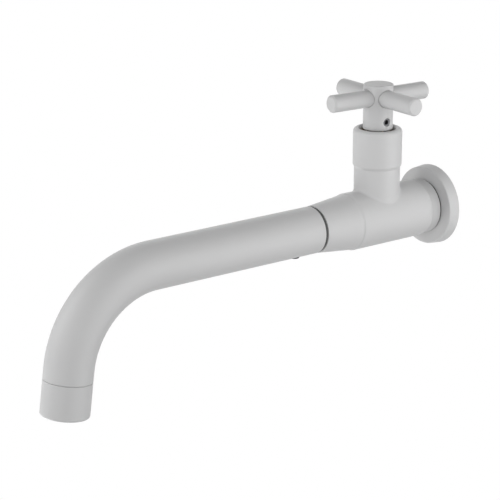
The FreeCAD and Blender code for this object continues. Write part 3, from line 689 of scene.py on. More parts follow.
def node(tree, kind, *inputs, **settings):
    """Adds a node, with its settings and its inputs as (socket, value or output) pairs."""
    made = tree.nodes.new("ShaderNode" + kind)
    for name, value in settings.items():
        setattr(made, name, value)
    for socket, value in inputs:
        if isinstance(value, bpy.types.NodeSocket):
            tree.links.new(value, made.inputs[socket])
        else:
            made.inputs[socket].default_value = value
    return made


def pebbled_group():
    """Fine pebbled skin: its height, from rounded cells with a finer noise on them."""
    if "Pebbled skin" in bpy.data.node_groups:
        return bpy.data.node_groups["Pebbled skin"]
    tree, given, result = group(
        "Pebbled skin",
        [("Vector", "Vector", None), ("Spacing", "Float", 0.0007),
         ("Fine share", "Float", 0.35), ("Fine ratio", "Float", 2.7)],
        [("Height", "Float")],
    )
    scale = node(tree, "Math", (0, 1.0), (1, given["Spacing"]), operation="DIVIDE").outputs[0]
    fine_scale = node(tree, "Math", (0, given["Fine ratio"]), (1, scale), operation="MULTIPLY").outputs[0]
    cells = node(tree, "TexVoronoi", ("Vector", given["Vector"]), ("Scale", scale), feature="SMOOTH_F1")
    fine = node(tree, "TexNoise", ("Vector", given["Vector"]), ("Scale", fine_scale), ("Detail", 2.0))
    both = node(
        tree, "Mix", ("Factor", given["Fine share"]),
        ("A", cells.outputs["Distance"]), ("B", fine.outputs[0]),
    )
    tree.links.new(both.outputs[0], result["Height"])
    return tree


def cloud_group():
    """Broad, faint change over a surface: a colour that gets a little lighter and darker, and a mask."""
    if "Broad change" in bpy.data.node_groups:
        return bpy.data.node_groups["Broad change"]
    tree, given, result = group(
        "Broad change",
        [("Vector", "Vector", None), ("Colour", "Color", (0.5, 0.5, 0.5, 1)),
         ("Size", "Float", 0.03), ("Depth", "Float", 0.04)],
        [("Colour", "Color"), ("Mask", "Float")],
    )
    scale = node(tree, "Math", (0, 1.0), (1, given["Size"]), operation="DIVIDE").outputs[0]
    cloud = node(tree, "TexNoise", ("Vector", given["Vector"]), ("Scale", scale), ("Detail", 3.0))
    low = node(tree, "Math", (0, 1.0), (1, given["Depth"]), operation="SUBTRACT")
    high = node(tree, "Math", (0, 1.0), (1, given["Depth"]), operation="ADD")
    level = node(
        tree, "MapRange", ("Value", cloud.outputs[0]),
        ("To Min", low.outputs[0]), ("To Max", high.outputs[0]),
    )
    shade = node(tree, "VectorMath", (0, given["Colour"]), ("Scale", level.outputs[0]), operation="SCALE")
    tree.links.new(shade.outputs[0], result["Colour"])
    tree.links.new(cloud.outputs[0], result["Mask"])
    return tree


def lathe_group():
    """Marks of turning: rings across an axis, unevenly spaced."""
    if "Lathe marks" in bpy.data.node_groups:
        return bpy.data.node_groups["Lathe marks"]
    tree, given, result = group(
        "Lathe marks",
        [("Vector", "Vector", None), ("Axis", "Vector", (0, 1, 0)), ("Spacing", "Float", 0.0003)],
        [("Height", "Float")],
    )
    along = node(tree, "VectorMath", (0, given["Vector"]), (1, given["Axis"]), operation="DOT_PRODUCT")
    ratio = node(tree, "Math", (0, along.outputs["Value"]), (1, given["Spacing"]), operation="DIVIDE")
    rings = node(tree, "TexNoise", ("W", ratio.outputs[0]), ("Scale", 1.0), noise_dimensions="1D")
    tree.links.new(rings.outputs[0], result["Height"])
    return tree


roughness_spread = 0.05


def finish_material(name, colour, roughness, cloud, relief, bump, metallic=0.0, specular=0.5):
    """Material whose colour and roughness change broadly and whose relief comes from a height group.

    cloud is the size and depth of the broad change. relief is the height group and its inputs, and
    bump is the relief's height. The roughness changes by roughness_spread either way.
    """
    if name in bpy.data.materials:
        return bpy.data.materials[name]
    material = bpy.data.materials.new(name)
    material.use_nodes = True
    tree = material.node_tree
    shader = tree.nodes["Principled BSDF"].inputs
    place = node(tree, "TexCoord").outputs["Object"]
    size, depth = cloud
    broad = node(
        tree, "Group", ("Vector", place), ("Colour", (*colour, 1)), ("Size", size), ("Depth", depth),
        node_tree=cloud_group(),
    )
    gloss = node(
        tree, "MapRange", ("Value", broad.outputs["Mask"]),
        ("To Min", roughness - roughness_spread), ("To Max", roughness + roughness_spread),
    )
    made, given = relief
    height = node(tree, "Group", ("Vector", place), *given, node_tree=made).outputs["Height"]
    lifted = node(tree, "Bump", ("Strength", 1.0), ("Distance", bump), ("Height", height))
    tree.links.new(broad.outputs["Colour"], shader["Base Color"])
    tree.links.new(gloss.outputs[0], shader["Roughness"])
    tree.links.new(lifted.outputs[0], shader["Normal"])
    shader["Metallic"].default_value = metallic
    shader["Specular IOR Level"].default_value = specular
    return material


def pebbled(spacing):
    """Relief of a powder coat or a moulded face."""
    return pebbled_group(), [("Spacing", spacing)]


def lathed(axis, spacing=0.0003):
    """Relief of turning about an axis."""
    return lathe_group(), [("Axis", tuple(axis)), ("Spacing", spacing)]


def grey_paint():
    """Matt light grey powder coat of the outer pieces."""
    finish = bpy.context.scene.tap_finish
    return finish_material(
        "grey_powder_coat", finish.paint_colour, finish.paint_roughness, (0.03, 0.025),
        pebbled(finish.paint_grain), finish.paint_bump, specular=finish.paint_specular,
    )


def black_rubber():
    """Matt black rubber of the washers and O-rings."""
    return finish_material(
        "black_rubber", colour=(0.022, 0.022, 0.023), roughness=0.62, cloud=(0.006, 0.1),
        relief=pebbled(0.0004), bump=0.000008,
    )


def black_nylon():
    """Dark nylon of the swivel ring and the glide ring."""
    return finish_material(
        "black_nylon", colour=(0.045, 0.045, 0.047), roughness=0.5, cloud=(0.01, 0.08),
        relief=pebbled(0.0005), bump=0.000006,
    )


def grey_acetal():
    """Grey moulded plastic of the aerator's insert."""
    return finish_material(
        "grey_acetal", colour=(0.42, 0.43, 0.45), roughness=0.38, cloud=(0.01, 0.03),
        relief=pebbled(0.0006), bump=0.000004,
    )


def lapped_alumina():
    """Smooth white ceramic of the discs."""
    return finish_material(
        "lapped_alumina", colour=(0.82, 0.81, 0.78), roughness=0.18, cloud=(0.01, 0.02),
        relief=pebbled(0.0003), bump=0.000001,
    )


def red_fibre():
    """Red fibre of the bonnet's washer."""
    return finish_material(
        "red_fibre", colour=(0.28, 0.05, 0.03), roughness=0.72, cloud=(0.003, 0.16),
        relief=pebbled(0.0003), bump=0.00001,
    )


def turned_brass(name, axis):
    """Bare brass turned about an axis."""
    return finish_material(
        name, colour=(0.72, 0.5, 0.2), roughness=0.3, cloud=(0.008, 0.08),
        relief=lathed(axis), bump=0.000005, metallic=1.0,
    )


def blackened_steel():
    """Blackened steel of the retaining screw and the circlip."""
    return finish_material(
        "blackened_steel", colour=(0.05, 0.05, 0.055), roughness=0.42, cloud=(0.004, 0.1),
        relief=lathed(UP), bump=0.000003, metallic=1.0,
    )


def bare_steel():
    """Dull dark steel of the set screw."""
    return finish_material(
        "bare_steel", colour=(0.11, 0.11, 0.115), roughness=0.42, cloud=(0.004, 0.1),
        relief=lathed(UP), bump=0.000003, metallic=1.0,
    )


def punched_steel():
    """Bright steel of the aerator's screen."""
    return finish_material(
        "punched_steel", colour=(0.5, 0.5, 0.51), roughness=0.34, cloud=(0.004, 0.06),
        relief=lathed(UP), bump=0.000003, metallic=1.0,
    )


def dress(material, *names):
    """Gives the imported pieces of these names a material."""
    for name in names:
        slots = frame["nodes"][name].data.materials
        slots.clear()
        slots.append(material)


class TAP_OT_escutcheon(Operator):
    """Makes the round flange on the wall: a cup that tapers a little to the front, and a grooved boss"""

    bl_idname = "tap.escutcheon"
    bl_label = "Escutcheon"

    def execute(self, context):
        edge = context.scene.tap_shape.edge_round
        front_radius = escutcheon_radius - escutcheon_draft
        cup_floor = escutcheon_front - escutcheon_wall
        groove_rear = escutcheon_front / 2 - escutcheon_groove_half
        groove_front = escutcheon_front / 2 + escutcheon_groove_half
        skin = turned(inlet_place, [
            (0, escutcheon_radius - escutcheon_wall),
            (0, escutcheon_radius, edge),
            (escutcheon_front, front_radius, escutcheon_round),
            (escutcheon_front, escutcheon_bore, edge),
            (groove_front, escutcheon_bore),
            (groove_front, escutcheon_groove),
            (groove_rear, escutcheon_groove),
            (groove_rear, escutcheon_bore),
            (0, escutcheon_bore),
            (0, escutcheon_boss),
            (cup_floor, escutcheon_boss),
            (cup_floor, front_radius - escutcheon_wall, escutcheon_inner_round),
        ], closed=True)
        finished("escutcheon_cup", skin, "body", "grey_paint", grey_paint(), "escutcheon")
        return {"FINISHED"}


class TAP_OT_washers(Operator):
    """Makes the two dark washers, behind the collar and behind the spout"""

    bl_idname = "tap.washers"
    bl_label = "Washers"

    def execute(self, context):
        for name, node_name, slot, material, rear, front, inner, outer in (
            ("wall_washer", "escutcheon_washer", "black_rubber", black_rubber(),
             washer_rear, washer_front, washer_bore, washer_radius),
            ("swivel_ring", "swivel_washer", "black_nylon", black_nylon(),
             swivel_rear, swivel_front, swivel_bore, swivel_radius),
        ):
            round_size = (front - rear) / 4
            skin = turned(inlet_place, [
                (rear, inner),
                (rear, outer, round_size),
                (front, outer, round_size),
                (front, inner),
            ], closed=True)
            finished(name, skin, "body", slot, material, node_name)
        return {"FINISHED"}


def thread_cut(along, angle):
    """Depth of the thread's groove under its crest, which winds once round per pitch.

    Across a pitch the depth rises and falls evenly, with a share of the sharp form cut off flat at
    the crest and at the root, and it runs out towards the wall's face.
    """
    turn = np.mod(along / thread_pitch - angle / (2 * math.pi), 1)
    rise = 1 - np.abs(2 * turn - 1)
    cut = np.clip((rise - thread_flat) / (1 - 2 * thread_flat), 0, 1)
    return thread_depth * cut * np.clip(-along / thread_run_out, 0, 1)


class TAP_OT_inlet_shank(Operator):
    """Makes the wall connector: threaded shank, collar, grooved spigot and hexagonal key socket"""

    bl_idname = "tap.inlet_shank"
    bl_label = "Inlet shank"

    def execute(self, context):
        edge = context.scene.tap_shape.edge_round
        chamfer = -shank_rear - thread_length
        row = thread_pitch / thread_rows
        thread = [
            (shank_rear, thread_radius - chamfer, 0, round(chamfer / row)),
            (-thread_length, thread_radius, 0, round(thread_length / row)),
            (0, thread_radius),
        ]
        corners = [
            (shank_rear, key_flats / 2),
            *thread,
            (0, shank_neck),
            (washer_front, shank_neck),
            (washer_front, collar_radius, collar_round),
            (barrel_rear, collar_radius - collar_flare),
            (barrel_rear, shank_groove),
            (barrel_rear + shank_groove_width, shank_groove),
            (barrel_rear + shank_groove_width, shank_spigot),
            (shank_front, shank_spigot, edge),
            (shank_front, inlet_bore, edge),
            (shank_rear + key_depth, inlet_bore),
            (shank_rear + key_depth, key_flats / 2),
        ]
        rows, starts = outline(corners, closed=True)
        along, angle, radius, _ = grid(rows, thread_steps)
        radius[rows[:, 1] == key_flats / 2] = hexagonal(angle[0], key_flats)
        first_row = starts[corners.index(thread[0])]
        last_row = starts[corners.index(thread[-1])]
        threaded = slice(first_row, last_row + 1)
        crest = thread_radius - thread_cut(along[threaded], angle[threaded])
        radius[threaded] = np.minimum(radius[threaded], crest)
        skin = Skin()
        skin.cover(skin.add(inlet_place(along, angle, radius)), closed=True)
        finished("threaded_shank", skin, "body", "grey_paint", grey_paint(), "inlet_shank")
        return {"FINISHED"}


def neck_root(turn):
    """Centre of a ball that rolls round the neck's root and touches the barrel and the neck.

    It stays one ball radius outside both cylinders: its side is the outer neck's radius times the
    sine of the turn, and its height the outer barrel's height there.
    """
    outer_neck = neck_radius + neck_round
    outer_barrel = barrel_radius + neck_round
    side = outer_neck * np.sin(turn)
    height = np.sqrt(outer_barrel ** 2 - side ** 2)
    return np.stack([side, -handle_out - outer_neck * np.cos(turn), height], axis=-1)


class TAP_OT_valve_body(Operator):
    """Makes the cast body: the barrel, the neck on it with its filleted root, and their bores"""

    bl_idname = "tap.valve_body"
    bl_label = "Valve body"

    def execute(self, context):
        edge = context.scene.tap_shape.edge_round
        root = SideHole(handle_out, 0, *root_block, barrel_steps)
        block = root.block(barrel_radius)
        corners = [
            (handle_out + inlet_way_beyond, 0),
            (handle_out + inlet_way_beyond, inlet_way),
            (inlet_socket_end, inlet_way),
            (inlet_socket_end, inlet_socket),
            (barrel_rear, inlet_socket, edge),
            (barrel_rear, barrel_radius, barrel_rear_round),
            *block,
            (barrel_front - barrel_front_slope, barrel_radius, barrel_front_round),
            (barrel_front, barrel_radius - barrel_front_fall),
            (barrel_front, outlet_bore, edge),
            (handle_out + outlet_bore_beyond, outlet_bore),
            (handle_out + outlet_bore_beyond, 0),
        ]
        rows, starts = outline(corners)
        along, angle, radius, keep = grid(rows, barrel_steps)

        def contact(turn):
            outer_neck = neck_radius + neck_round
            side = outer_neck * np.sin(turn) / (barrel_radius + neck_round)
            return outer_neck * np.cos(turn), np.arcsin(side)

        block_row = starts[corners.index(block[0])]
        loop = root.open(block_row, along, angle, keep, contact)
        skin = Skin()
        numbers = skin.add(inlet_place(along, angle, radius))
        skin.cover(numbers, keep=keep)

        turn = root.turn
        centre = neck_root(turn)
        on_barrel = skin.points[numbers[loop]] - centre
        on_neck = neck_place(centre[:, 2], turn, neck_radius) - centre
        between = np.arccos(np.sum(on_barrel * on_neck, axis=1) / neck_round ** 2)[:, None]
        share = np.linspace(0, 1, root_rows + 1)[1:, None, None]
        barrel_share = np.sin((1 - share) * between) / np.sin(between)
        neck_share = np.sin(share * between) / np.sin(between)
        last = skin.link(numbers[loop], centre + barrel_share * on_barrel + neck_share * on_neck)

        straight_top = sleeve_bottom - neck_shoulder_round
        foot = centre[:, 2]
        share = np.array(neck_rows)[:, None]
        last = skin.link(last, neck_place(foot + share * (straight_top - foot), turn, neck_radius))
        groove_low = neck_top - neck_groove_below_top - neck_groove_half
        groove_high = neck_top - neck_groove_below_top + neck_groove_half
        inner, _ = outline([
            (straight_top - hold, neck_radius),
            (sleeve_bottom, neck_radius, neck_shoulder_round),
            (sleeve_bottom, neck_spigot),
            (groove_low, neck_spigot),
            (groove_low, neck_groove),
            (groove_high, neck_groove),
            (groove_high, neck_spigot),
            (neck_top, neck_spigot, edge),
            (neck_top, headwork_bore, edge),
            (chamber_top, headwork_bore),
            (chamber_top, chamber_radius),
            (chamber_bottom, chamber_radius),
            (chamber_bottom, seat_bore),
            (seat_bore_floor, seat_bore),
            (seat_bore_floor, 0),
        ])
        skin.link(last, neck_place(inner[1:, :1], turn, inner[1:, 1:]))
        finished("cast_body", skin, "body", "grey_paint", grey_paint(), "valve_body")
        return {"FINISHED"}


class TAP_OT_outlet_adapter(Operator):
    """Makes the tapered piece in front of the barrel, with the grooved spigot inside the spout"""

    bl_idname = "tap.outlet_adapter"
    bl_label = "Outlet adapter"

    def execute(self, context):
        edge = context.scene.tap_shape.edge_round
        groove_rear = barrel_front - adapter_groove_width
        rings = (spigot_groove_width, spigot_groove_depth)
        front_ring = spigot_end - spigot_ring_from_end
        grooves = []
        for middle, width, depth in (
            (retainer_out, retainer_groove_width, retainer_groove_depth),
            (front_ring - spigot_ring_spacing, *rings),
            (front_ring, *rings),
        ):
            grooves += [
                (middle - width / 2, swivel_spigot),
                (middle - width / 2, swivel_spigot - depth),
                (middle + width / 2, swivel_spigot - depth),
                (middle + width / 2, swivel_spigot),
            ]
        skin = turned(inlet_place, [
            (adapter_rear, adapter_bore),
            (adapter_rear, adapter_thread),
            (groove_rear, adapter_thread),
            (groove_rear, adapter_groove),
            (barrel_front, adapter_groove),
            (barrel_front, adapter_radius),
            (swivel_rear, adapter_front_radius, edge),
            (swivel_rear, swivel_spigot),
            *grooves,
            (spigot_end, swivel_spigot, edge),
            (spigot_end, adapter_bore),
        ], closed=True)
        finished("tapered_adapter", skin, "body", "grey_paint", grey_paint(), "outlet_adapter")
        return {"FINISHED"}


class TAP_OT_spout_tube(Operator):
    """Makes the spout: a tube carried along a straight, one bend and a short straight"""

    bl_idname = "tap.spout_tube"
    bl_label = "Spout tube"

    def execute(self, context):
        edge = context.scene.tap_shape.edge_round
        bend_end = spout_length - spout_end_straight
        hole = SideHole(retainer_out - spout_start, math.pi, *retainer_block)
        outer_block = hole.block(spout_radius)
        inner_block = hole.block(spout_inner, backwards=True)
        corners = [
            (0, spout_radius, edge),
            *outer_block,
            (spout_straight, spout_radius, 0, bend_rows),
            (bend_end, spout_radius),
            (spout_length, spout_radius, edge),
            (spout_length, spout_inner),
            (bend_end, spout_inner, 0, bend_rows),
            (spout_straight, spout_inner),
            *inner_block,
            (0, spout_inner),
        ]
        rows, starts = outline(corners, closed=True)
        along, angle, radius, keep = grid(rows, turned_steps)
        outer_row = starts[corners.index(outer_block[0])]
        inner_row = starts[corners.index(inner_block[0])]
        outer_edge = hole.drilled(retainer_hole + edge, spout_radius)
        inner_edge = hole.drilled(retainer_hole, spout_inner)
        outer_loop = hole.open(outer_row, along, angle, keep, outer_edge)
        inner_loop = hole.open(inner_row, along, angle, keep, inner_edge, backwards=True)
        skin = Skin()
        numbers = skin.add(spout_place(along, angle, radius))
        skin.cover(numbers, closed=True, keep=keep)
        last = skin.link(numbers[outer_loop], spout_place(*hole.lip(retainer_hole, edge, spout_radius)))
        skin.cover(np.vstack([last[None], numbers[inner_loop][None]]))
        finished("spout_pipe", skin, "spout", "grey_paint", grey_paint(), "spout_tube")
        return {"FINISHED"}


class TAP_OT_aerator_shell(Operator):
    """Makes the round shell at the spout's tip"""

    bl_idname = "tap.aerator_shell"
    bl_label = "Aerator shell"

    def execute(self, context):
        edge = context.scene.tap_shape.edge_round
        skin = turned(tip_place, [
            (0, shell_socket),
            (0, spout_radius - shell_seam_depth),
            (shell_seam_width, spout_radius - shell_seam_depth),
            (shell_seam_width, spout_radius, edge),
            (shell_length, spout_radius, shell_round),
            (shell_length, shell_bore, edge),
            (shell_shoulder, shell_bore),
            (shell_shoulder, shell_socket),
        ], closed=True)
        finished("tip_shell", skin, "spout", "grey_paint", grey_paint(), "aerator_shell")
        return {"FINISHED"}


class TAP_OT_retaining_screw(Operator):
    """Makes the small dark screw under the spout that holds it on its spigot"""

    bl_idname = "tap.retaining_screw"
    bl_label = "Retaining screw"

    def execute(self, context):
        skin = turned(retainer_place, [
            (retainer_tip, 0),
            (retainer_tip, retainer_dog),
            (swivel_bore, retainer_dog),
            (swivel_bore, retainer_shank),
            (retainer_seat, retainer_shank),
            (retainer_seat, retainer_radius),
            (retainer_end, retainer_radius, retainer_round),
            (retainer_end, retainer_flats / 2),
            (retainer_end - retainer_key_depth, retainer_flats / 2),
            (retainer_end - retainer_key_depth, 0),
        ], steps=small_steps, flats=retainer_flats)
        finished("dog_screw", skin, "spout", "dark_steel", blackened_steel(), "spout_retaining_screw")
        return {"FINISHED"}


class TAP_OT_sleeve(Operator):
    """Makes the round cover over the headwork, with its lip round the hub"""

    bl_idname = "tap.sleeve"
    bl_label = "Shroud sleeve"

    def execute(self, context):
        skin = turned(neck_place, [
            (sleeve_bottom, sleeve_bore),
            (sleeve_bottom, sleeve_radius - sleeve_bottom_fall),
            (sleeve_bottom + sleeve_bottom_slope, sleeve_radius, sleeve_bottom_round),
            (sleeve_top, sleeve_radius, sleeve_top_round),
            (sleeve_top, sleeve_opening, sleeve_opening_round),
            (sleeve_top - sleeve_lip, sleeve_opening),
            (sleeve_top - sleeve_lip, sleeve_bore),
        ], closed=True)
        finished("neck_sleeve", skin, "body", "grey_paint", grey_paint(), "shroud_sleeve")
        return {"FINISHED"}


class TAP_OT_hub(Operator):
    """Makes the handle's hub, with a counterbored seat for each arm, a socket and a screw hole"""

    bl_idname = "tap.hub"
    bl_label = "Handle hub"

    def execute(self, context):
        edge = context.scene.tap_shape.seat_round
        quarter = 2 * math.pi / arm_count
        seats = [SideHole(arm_height, index * quarter, *arm_block) for index in range(arm_count)]
        screw_out = SideHole(set_screw_height, 0, *screw_block)
        screw_in = SideHole(set_screw_height, 0, *screw_socket_block)
        inner_block = screw_in.block(hub_socket, backwards=True)
        outer_block = screw_out.block(hub_radius)
        seat_block = seats[0].block(hub_radius)
        corners = [
            (hub_socket_top, 0),
            (hub_socket_top, hub_socket),
            *inner_block,
            (hub_bottom, hub_socket),
            (hub_bottom, hub_radius - hub_bottom_chamfer),
            (hub_bottom + hub_bottom_chamfer, hub_radius),
            *outer_block,
            *seat_block,
            (hub_top, hub_radius, hub_top_round),
            (hub_top, 0),
        ]
        rows, starts = outline(corners)
        along, angle, radius, keep = grid(rows, turned_steps)
        turned_zero = np.array([math.cos(handle_rest_angle), math.sin(handle_rest_angle), 0])
        hub_place = axis_place(handle_out * OUT, UP, turned_zero, np.cross(UP, turned_zero))
        seat_radius = arm_radius + arm_seat_gap
        inner_row = starts[corners.index(inner_block[0])]
        outer_row = starts[corners.index(outer_block[0])]
        seat_row = starts[corners.index(seat_block[0])]
        inner_edge = screw_in.drilled(set_screw_hole, hub_socket)
        outer_edge = screw_out.drilled(set_screw_hole + edge, hub_radius)
        inner = screw_in.open(inner_row, along, angle, keep, inner_edge, backwards=True)
        outer = screw_out.open(outer_row, along, angle, keep, outer_edge)
        loops = [
            seat.open(seat_row, along, angle, keep, seat.drilled(seat_radius + edge, hub_radius))
            for seat in seats
        ]
        skin = Skin()
        numbers = skin.add(hub_place(along, angle, radius))
        skin.cover(numbers, keep=keep)
        last = skin.link(numbers[outer], hub_place(*screw_out.lip(set_screw_hole, edge, hub_radius)))
        skin.cover(np.vstack([last[None], numbers[inner][None]]))
        stud = arm_stud + arm_seat_gap
        for seat, loop in zip(seats, loops):
            last = skin.link(numbers[loop], hub_place(*seat.lip(seat_radius, edge, hub_radius)))
            floor = np.array([
                (seat_radius, arm_seat), (stud, arm_seat), (stud, arm_stud_floor), (0, arm_stud_floor),
            ])
            skin.link(last, hub_place(*seat.rows(floor[:, :1], floor[:, 1:])))
        finished("handle_boss", skin, "handle", "grey_paint", grey_paint(), "handle_hub")
        return {"FINISHED"}


class TAP_OT_arms(Operator):
    """Makes the four round arms of the handle, each with its stud"""

    bl_idname = "tap.arms"
    bl_label = "Handle arms"

    def execute(self, context):
        edge = context.scene.tap_shape.edge_round
        for index in range(arm_count):
            angle = handle_rest_angle + index * 2 * math.pi / arm_count
            skin = turned(spoke_place(arm_height, angle), [
                (arm_seat - arm_stud_length, 0),
                (arm_seat - arm_stud_length, arm_stud),
                (arm_seat, arm_stud),
                (arm_seat, arm_radius),
                (arm_reach - arm_end_chamfer, arm_radius, edge),
                (arm_reach, arm_radius - arm_end_chamfer, edge),
                (arm_reach, 0),
            ], steps=small_steps)
            name = f"{index + 1}"
            finished("arm_" + name, skin, "handle", "grey_paint", grey_paint(), "handle_arm_" + name)
        return {"FINISHED"}


class TAP_OT_set_screw(Operator):
    """Makes the dark grub screw in the hub, with its hexagonal socket"""

    bl_idname = "tap.set_screw"
    bl_label = "Set screw"

    def execute(self, context):
        outer = set_screw_outer
        skin = turned(spoke_place(set_screw_height, handle_rest_angle), [
            (set_screw_inner, 0),
            (set_screw_inner, set_screw_radius - set_screw_point),
            (set_screw_inner + set_screw_point, set_screw_radius),
            (outer - set_screw_rim, set_screw_radius),
            (outer, set_screw_radius - set_screw_rim),
            (outer, set_screw_flats / 2),
            (outer - set_screw_key_depth, set_screw_flats / 2),
            (outer - set_screw_key_depth, 0),
        ], steps=small_steps, flats=set_screw_flats)
        finished("grub_screw", skin, "handle", "dark_steel", bare_steel(), "handle_set_screw")
        return {"FINISHED"}


class TAP_OT_inner_pieces(Operator):
    """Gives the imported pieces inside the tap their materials"""

    bl_idname = "tap.inner_pieces"
    bl_label = "Inner pieces"

    def execute(self, context):
        dress(
            black_rubber(), "escutcheon_o_ring", "inlet_o_ring", "adapter_o_ring", "spigot_o_ring_rear",
            "spigot_o_ring_front", "seat_seal", "spindle_o_ring_lower", "spindle_o_ring_upper",
            "sleeve_o_ring", "aerator_washer",
        )
        dress(black_nylon(), "spindle_glide_ring")
        dress(turned_brass("turned_brass_upright", UP), "headwork_bonnet", "spindle")
        dress(turned_brass("turned_brass_along", OUT), "spout_inlet_bush", "spout_outlet_bush")
        dress(lapped_alumina(), "ceramic_disc_fixed", "ceramic_disc_moving")
        dress(red_fibre(), "bonnet_washer")
        dress(blackened_steel(), "spindle_circlip")
        dress(grey_acetal(), "aerator_insert")
        dress(punched_steel(), "aerator_screen")
        return {"FINISHED"}


def backdrop_rays(tree):
    """1 where a ray comes from the camera, a mirror-like reflection or through glass, else 0."""
    path = node(tree, "LightPath").outputs
    some = node(tree, "Math", (0, path["Is Camera Ray"]), (1, path["Is Glossy Ray"]), operation="MAXIMUM")
    return node(
        tree, "Math", (0, some.outputs[0]), (1, path["Is Transmission Ray"]), operation="MAXIMUM",
    ).outputs[0]


def white_world(ambient):
    """World that is white behind the tap, and gives an even light everywhere else."""
    world = bpy.data.worlds.new("studio_white")
    world.use_nodes = True
    tree = world.node_tree
    tree.nodes.clear()
    even = node(tree, "Background", ("Color", (1, 1, 1, 1)), ("Strength", ambient))
    white = node(tree, "Background", ("Color", (1, 1, 1, 1)), ("Strength", 1.0))
    mixed = node(tree, "MixShader", (0, backdrop_rays(tree)), (1, even.outputs[0]), (2, white.outputs[0]))
    tree.links.new(mixed.outputs[0], node(tree, "OutputWorld").inputs["Surface"])
    return world


def floor_material(near, far, lift):
    """Pale matt floor that keeps the shadow near the tap, and is white further out.

    What the camera sees of it is lifted by an even glow, because the lamps that light the tap hardly
    reach so far down.
    """
    material = bpy.data.materials.new("studio_floor")
    material.use_nodes = True
    tree = material.node_tree
    tree.nodes.clear()
    place = node(tree, "TexCoord").outputs["Object"]
    distance = node(tree, "VectorMath", (0, place), operation="LENGTH").outputs["Value"]
    outside = node(
        tree, "MapRange", ("Value", distance), ("From Min", near), ("From Max", far),
    ).outputs[0]
    seen = backdrop_rays(tree)
    white = node(tree, "Math", (0, outside), (1, seen), operation="MULTIPLY").outputs[0]
    lifted = node(tree, "Math", (0, seen), (1, lift), operation="MULTIPLY").outputs[0]
    matt = node(tree, "BsdfDiffuse", ("Color", (0.8, 0.8, 0.8, 1)))
    even = node(tree, "Emission", ("Color", (1, 1, 1, 1)), ("Strength", lifted))
    pale = node(tree, "AddShader", (0, matt.outputs[0]), (1, even.outputs[0]))
    glow = node(tree, "Emission", ("Color", (1, 1, 1, 1)), ("Strength", 1.0))
    mixed = node(tree, "MixShader", (0, white), (1, pale.outputs[0]), (2, glow.outputs[0]))
    tree.links.new(mixed.outputs[0], node(tree, "OutputMaterial").inputs["Surface"])
    return material


def make_floor(stage):
    """Round floor as rings of points whose radius doubles."""
    skin = Skin()
    radius = np.hstack([0, floor_first_ring * 2.0 ** np.arange(floor_rings)])[:, None]
    place = axis_place(stage.floor_height * UP, UP, ACROSS, -OUT)
    skin.cover(skin.add(place(0, turns(small_steps), radius)))
    mesh = bpy.data.meshes.new("studio_floor")
    mesh.from_pydata(skin.points.tolist(), [], skin.faces.tolist())
    floor = bpy.data.objects.new("studio_floor", mesh)
    bpy.context.scene.collection.objects.link(floor)
    mesh.materials.append(floor_material(stage.floor_kept, stage.floor_white, stage.floor_glow))


def outlook(turn, rise):
    """Direction from the tap to what looks at it from this azimuth and elevation."""
    return Vector((math.sin(turn) * math.cos(rise), -math.cos(turn) * math.cos(rise), math.sin(rise)))


def make_camera(stage):
    """Camera that puts the target on its pixel, at the distance and scale that are given."""
    turn = stage.azimuth
    back = outlook(turn, stage.elevation)
    right = Vector((math.cos(turn), math.sin(turn), 0))
    up = back.cross(right)
    aside = (stage.target_pixel[0] - frame_pixels / 2) / stage.scale
    below = (stage.target_pixel[1] - frame_pixels / 2) / stage.scale
    data = bpy.data.cameras.new("photo_camera")
    data.sensor_width = 36
    data.lens = stage.scale * stage.distance * data.sensor_width / frame_pixels
    data.clip_start = 0.01
    data.clip_end = 100
    camera = bpy.data.objects.new("photo_camera", data)
    place = Vector(stage.target) + back * stage.distance - right * aside + up * below
    axes = Matrix((right, up, back)).transposed()
    camera.matrix_world = Matrix.Translation(place) @ axes.to_4x4()
    bpy.context.scene.collection.objects.link(camera)
    bpy.context.scene.camera = camera


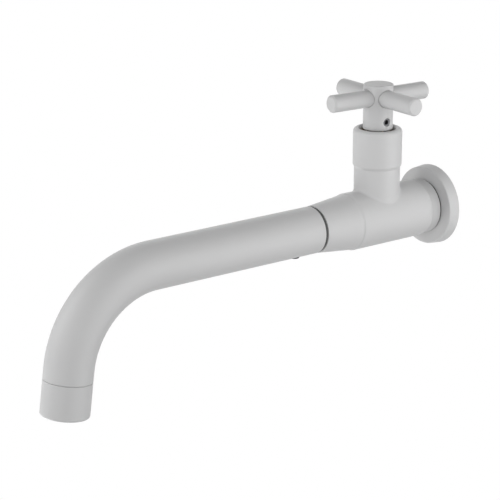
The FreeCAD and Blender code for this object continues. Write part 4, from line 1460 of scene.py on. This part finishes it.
def make_lamp(name, azimuth, elevation, size, power, distance, aim):
    """Square area lamp that looks at the tap from an azimuth and elevation, as the camera's are given."""
    back = outlook(math.radians(azimuth), math.radians(elevation))
    data = bpy.data.lights.new(name, "AREA")
    data.shape = "SQUARE"
    data.size = size
    data.energy = power
    lamp = bpy.data.objects.new(name, data)
    lamp.location = Vector(aim) + back * distance
    lamp.rotation_euler = back.to_track_quat("Z", "Y").to_euler()
    lamp.visible_camera = False
    bpy.context.scene.collection.objects.link(lamp)


class TAP_OT_stage(Operator):
    """Makes the floor, the white surroundings, the lamps and the camera"""

    bl_idname = "tap.stage"
    bl_label = "Studio"

    def execute(self, context):
        stage = context.scene.tap_stage
        make_floor(stage)
        context.scene.world = white_world(stage.ambient)
        for lamp in lamps:
            make_lamp(*lamp)
        make_camera(stage)
        context.scene.view_settings.view_transform = "Standard"
        return {"FINISHED"}


steps = (
    TAP_OT_escutcheon, TAP_OT_washers, TAP_OT_inlet_shank, TAP_OT_valve_body, TAP_OT_outlet_adapter,
    TAP_OT_spout_tube, TAP_OT_aerator_shell, TAP_OT_retaining_screw, TAP_OT_sleeve, TAP_OT_hub,
    TAP_OT_arms, TAP_OT_set_screw, TAP_OT_inner_pieces, TAP_OT_stage,
)


class TAP_PT_tap(Panel):
    """Lists the tap's settings and the steps that make it"""

    bl_idname = "TAP_PT_tap"
    bl_label = "Wall basin tap"
    bl_space_type = "VIEW_3D"
    bl_region_type = "UI"
    bl_category = "Tap"

    def draw(self, context):
        scene = context.scene
        for settings in (scene.tap_shape, scene.tap_finish, scene.tap_stage):
            box = self.layout.box()
            for name in settings.__annotations__:
                box.prop(settings, name)
        for step in steps:
            self.layout.operator(step.bl_idname)


classes = (TapShape, TapFinish, TapStage, *steps, TAP_PT_tap)


def register():
    """Registers the classes and puts their settings on the scene."""
    for made in classes:
        bpy.utils.register_class(made)
    bpy.types.Scene.tap_shape = PointerProperty(type=TapShape)
    bpy.types.Scene.tap_finish = PointerProperty(type=TapFinish)
    bpy.types.Scene.tap_stage = PointerProperty(type=TapStage)


def unregister():
    """Takes the settings and the classes away again."""
    del bpy.types.Scene.tap_stage
    del bpy.types.Scene.tap_finish
    del bpy.types.Scene.tap_shape
    for made in reversed(classes):
        bpy.utils.unregister_class(made)


def main():
    """Makes every piece and the stage in order."""
    register()
    for step in steps:
        getattr(bpy.ops.tap, step.bl_idname.split(".")[1])()


if __name__ == "__main__":
    main()
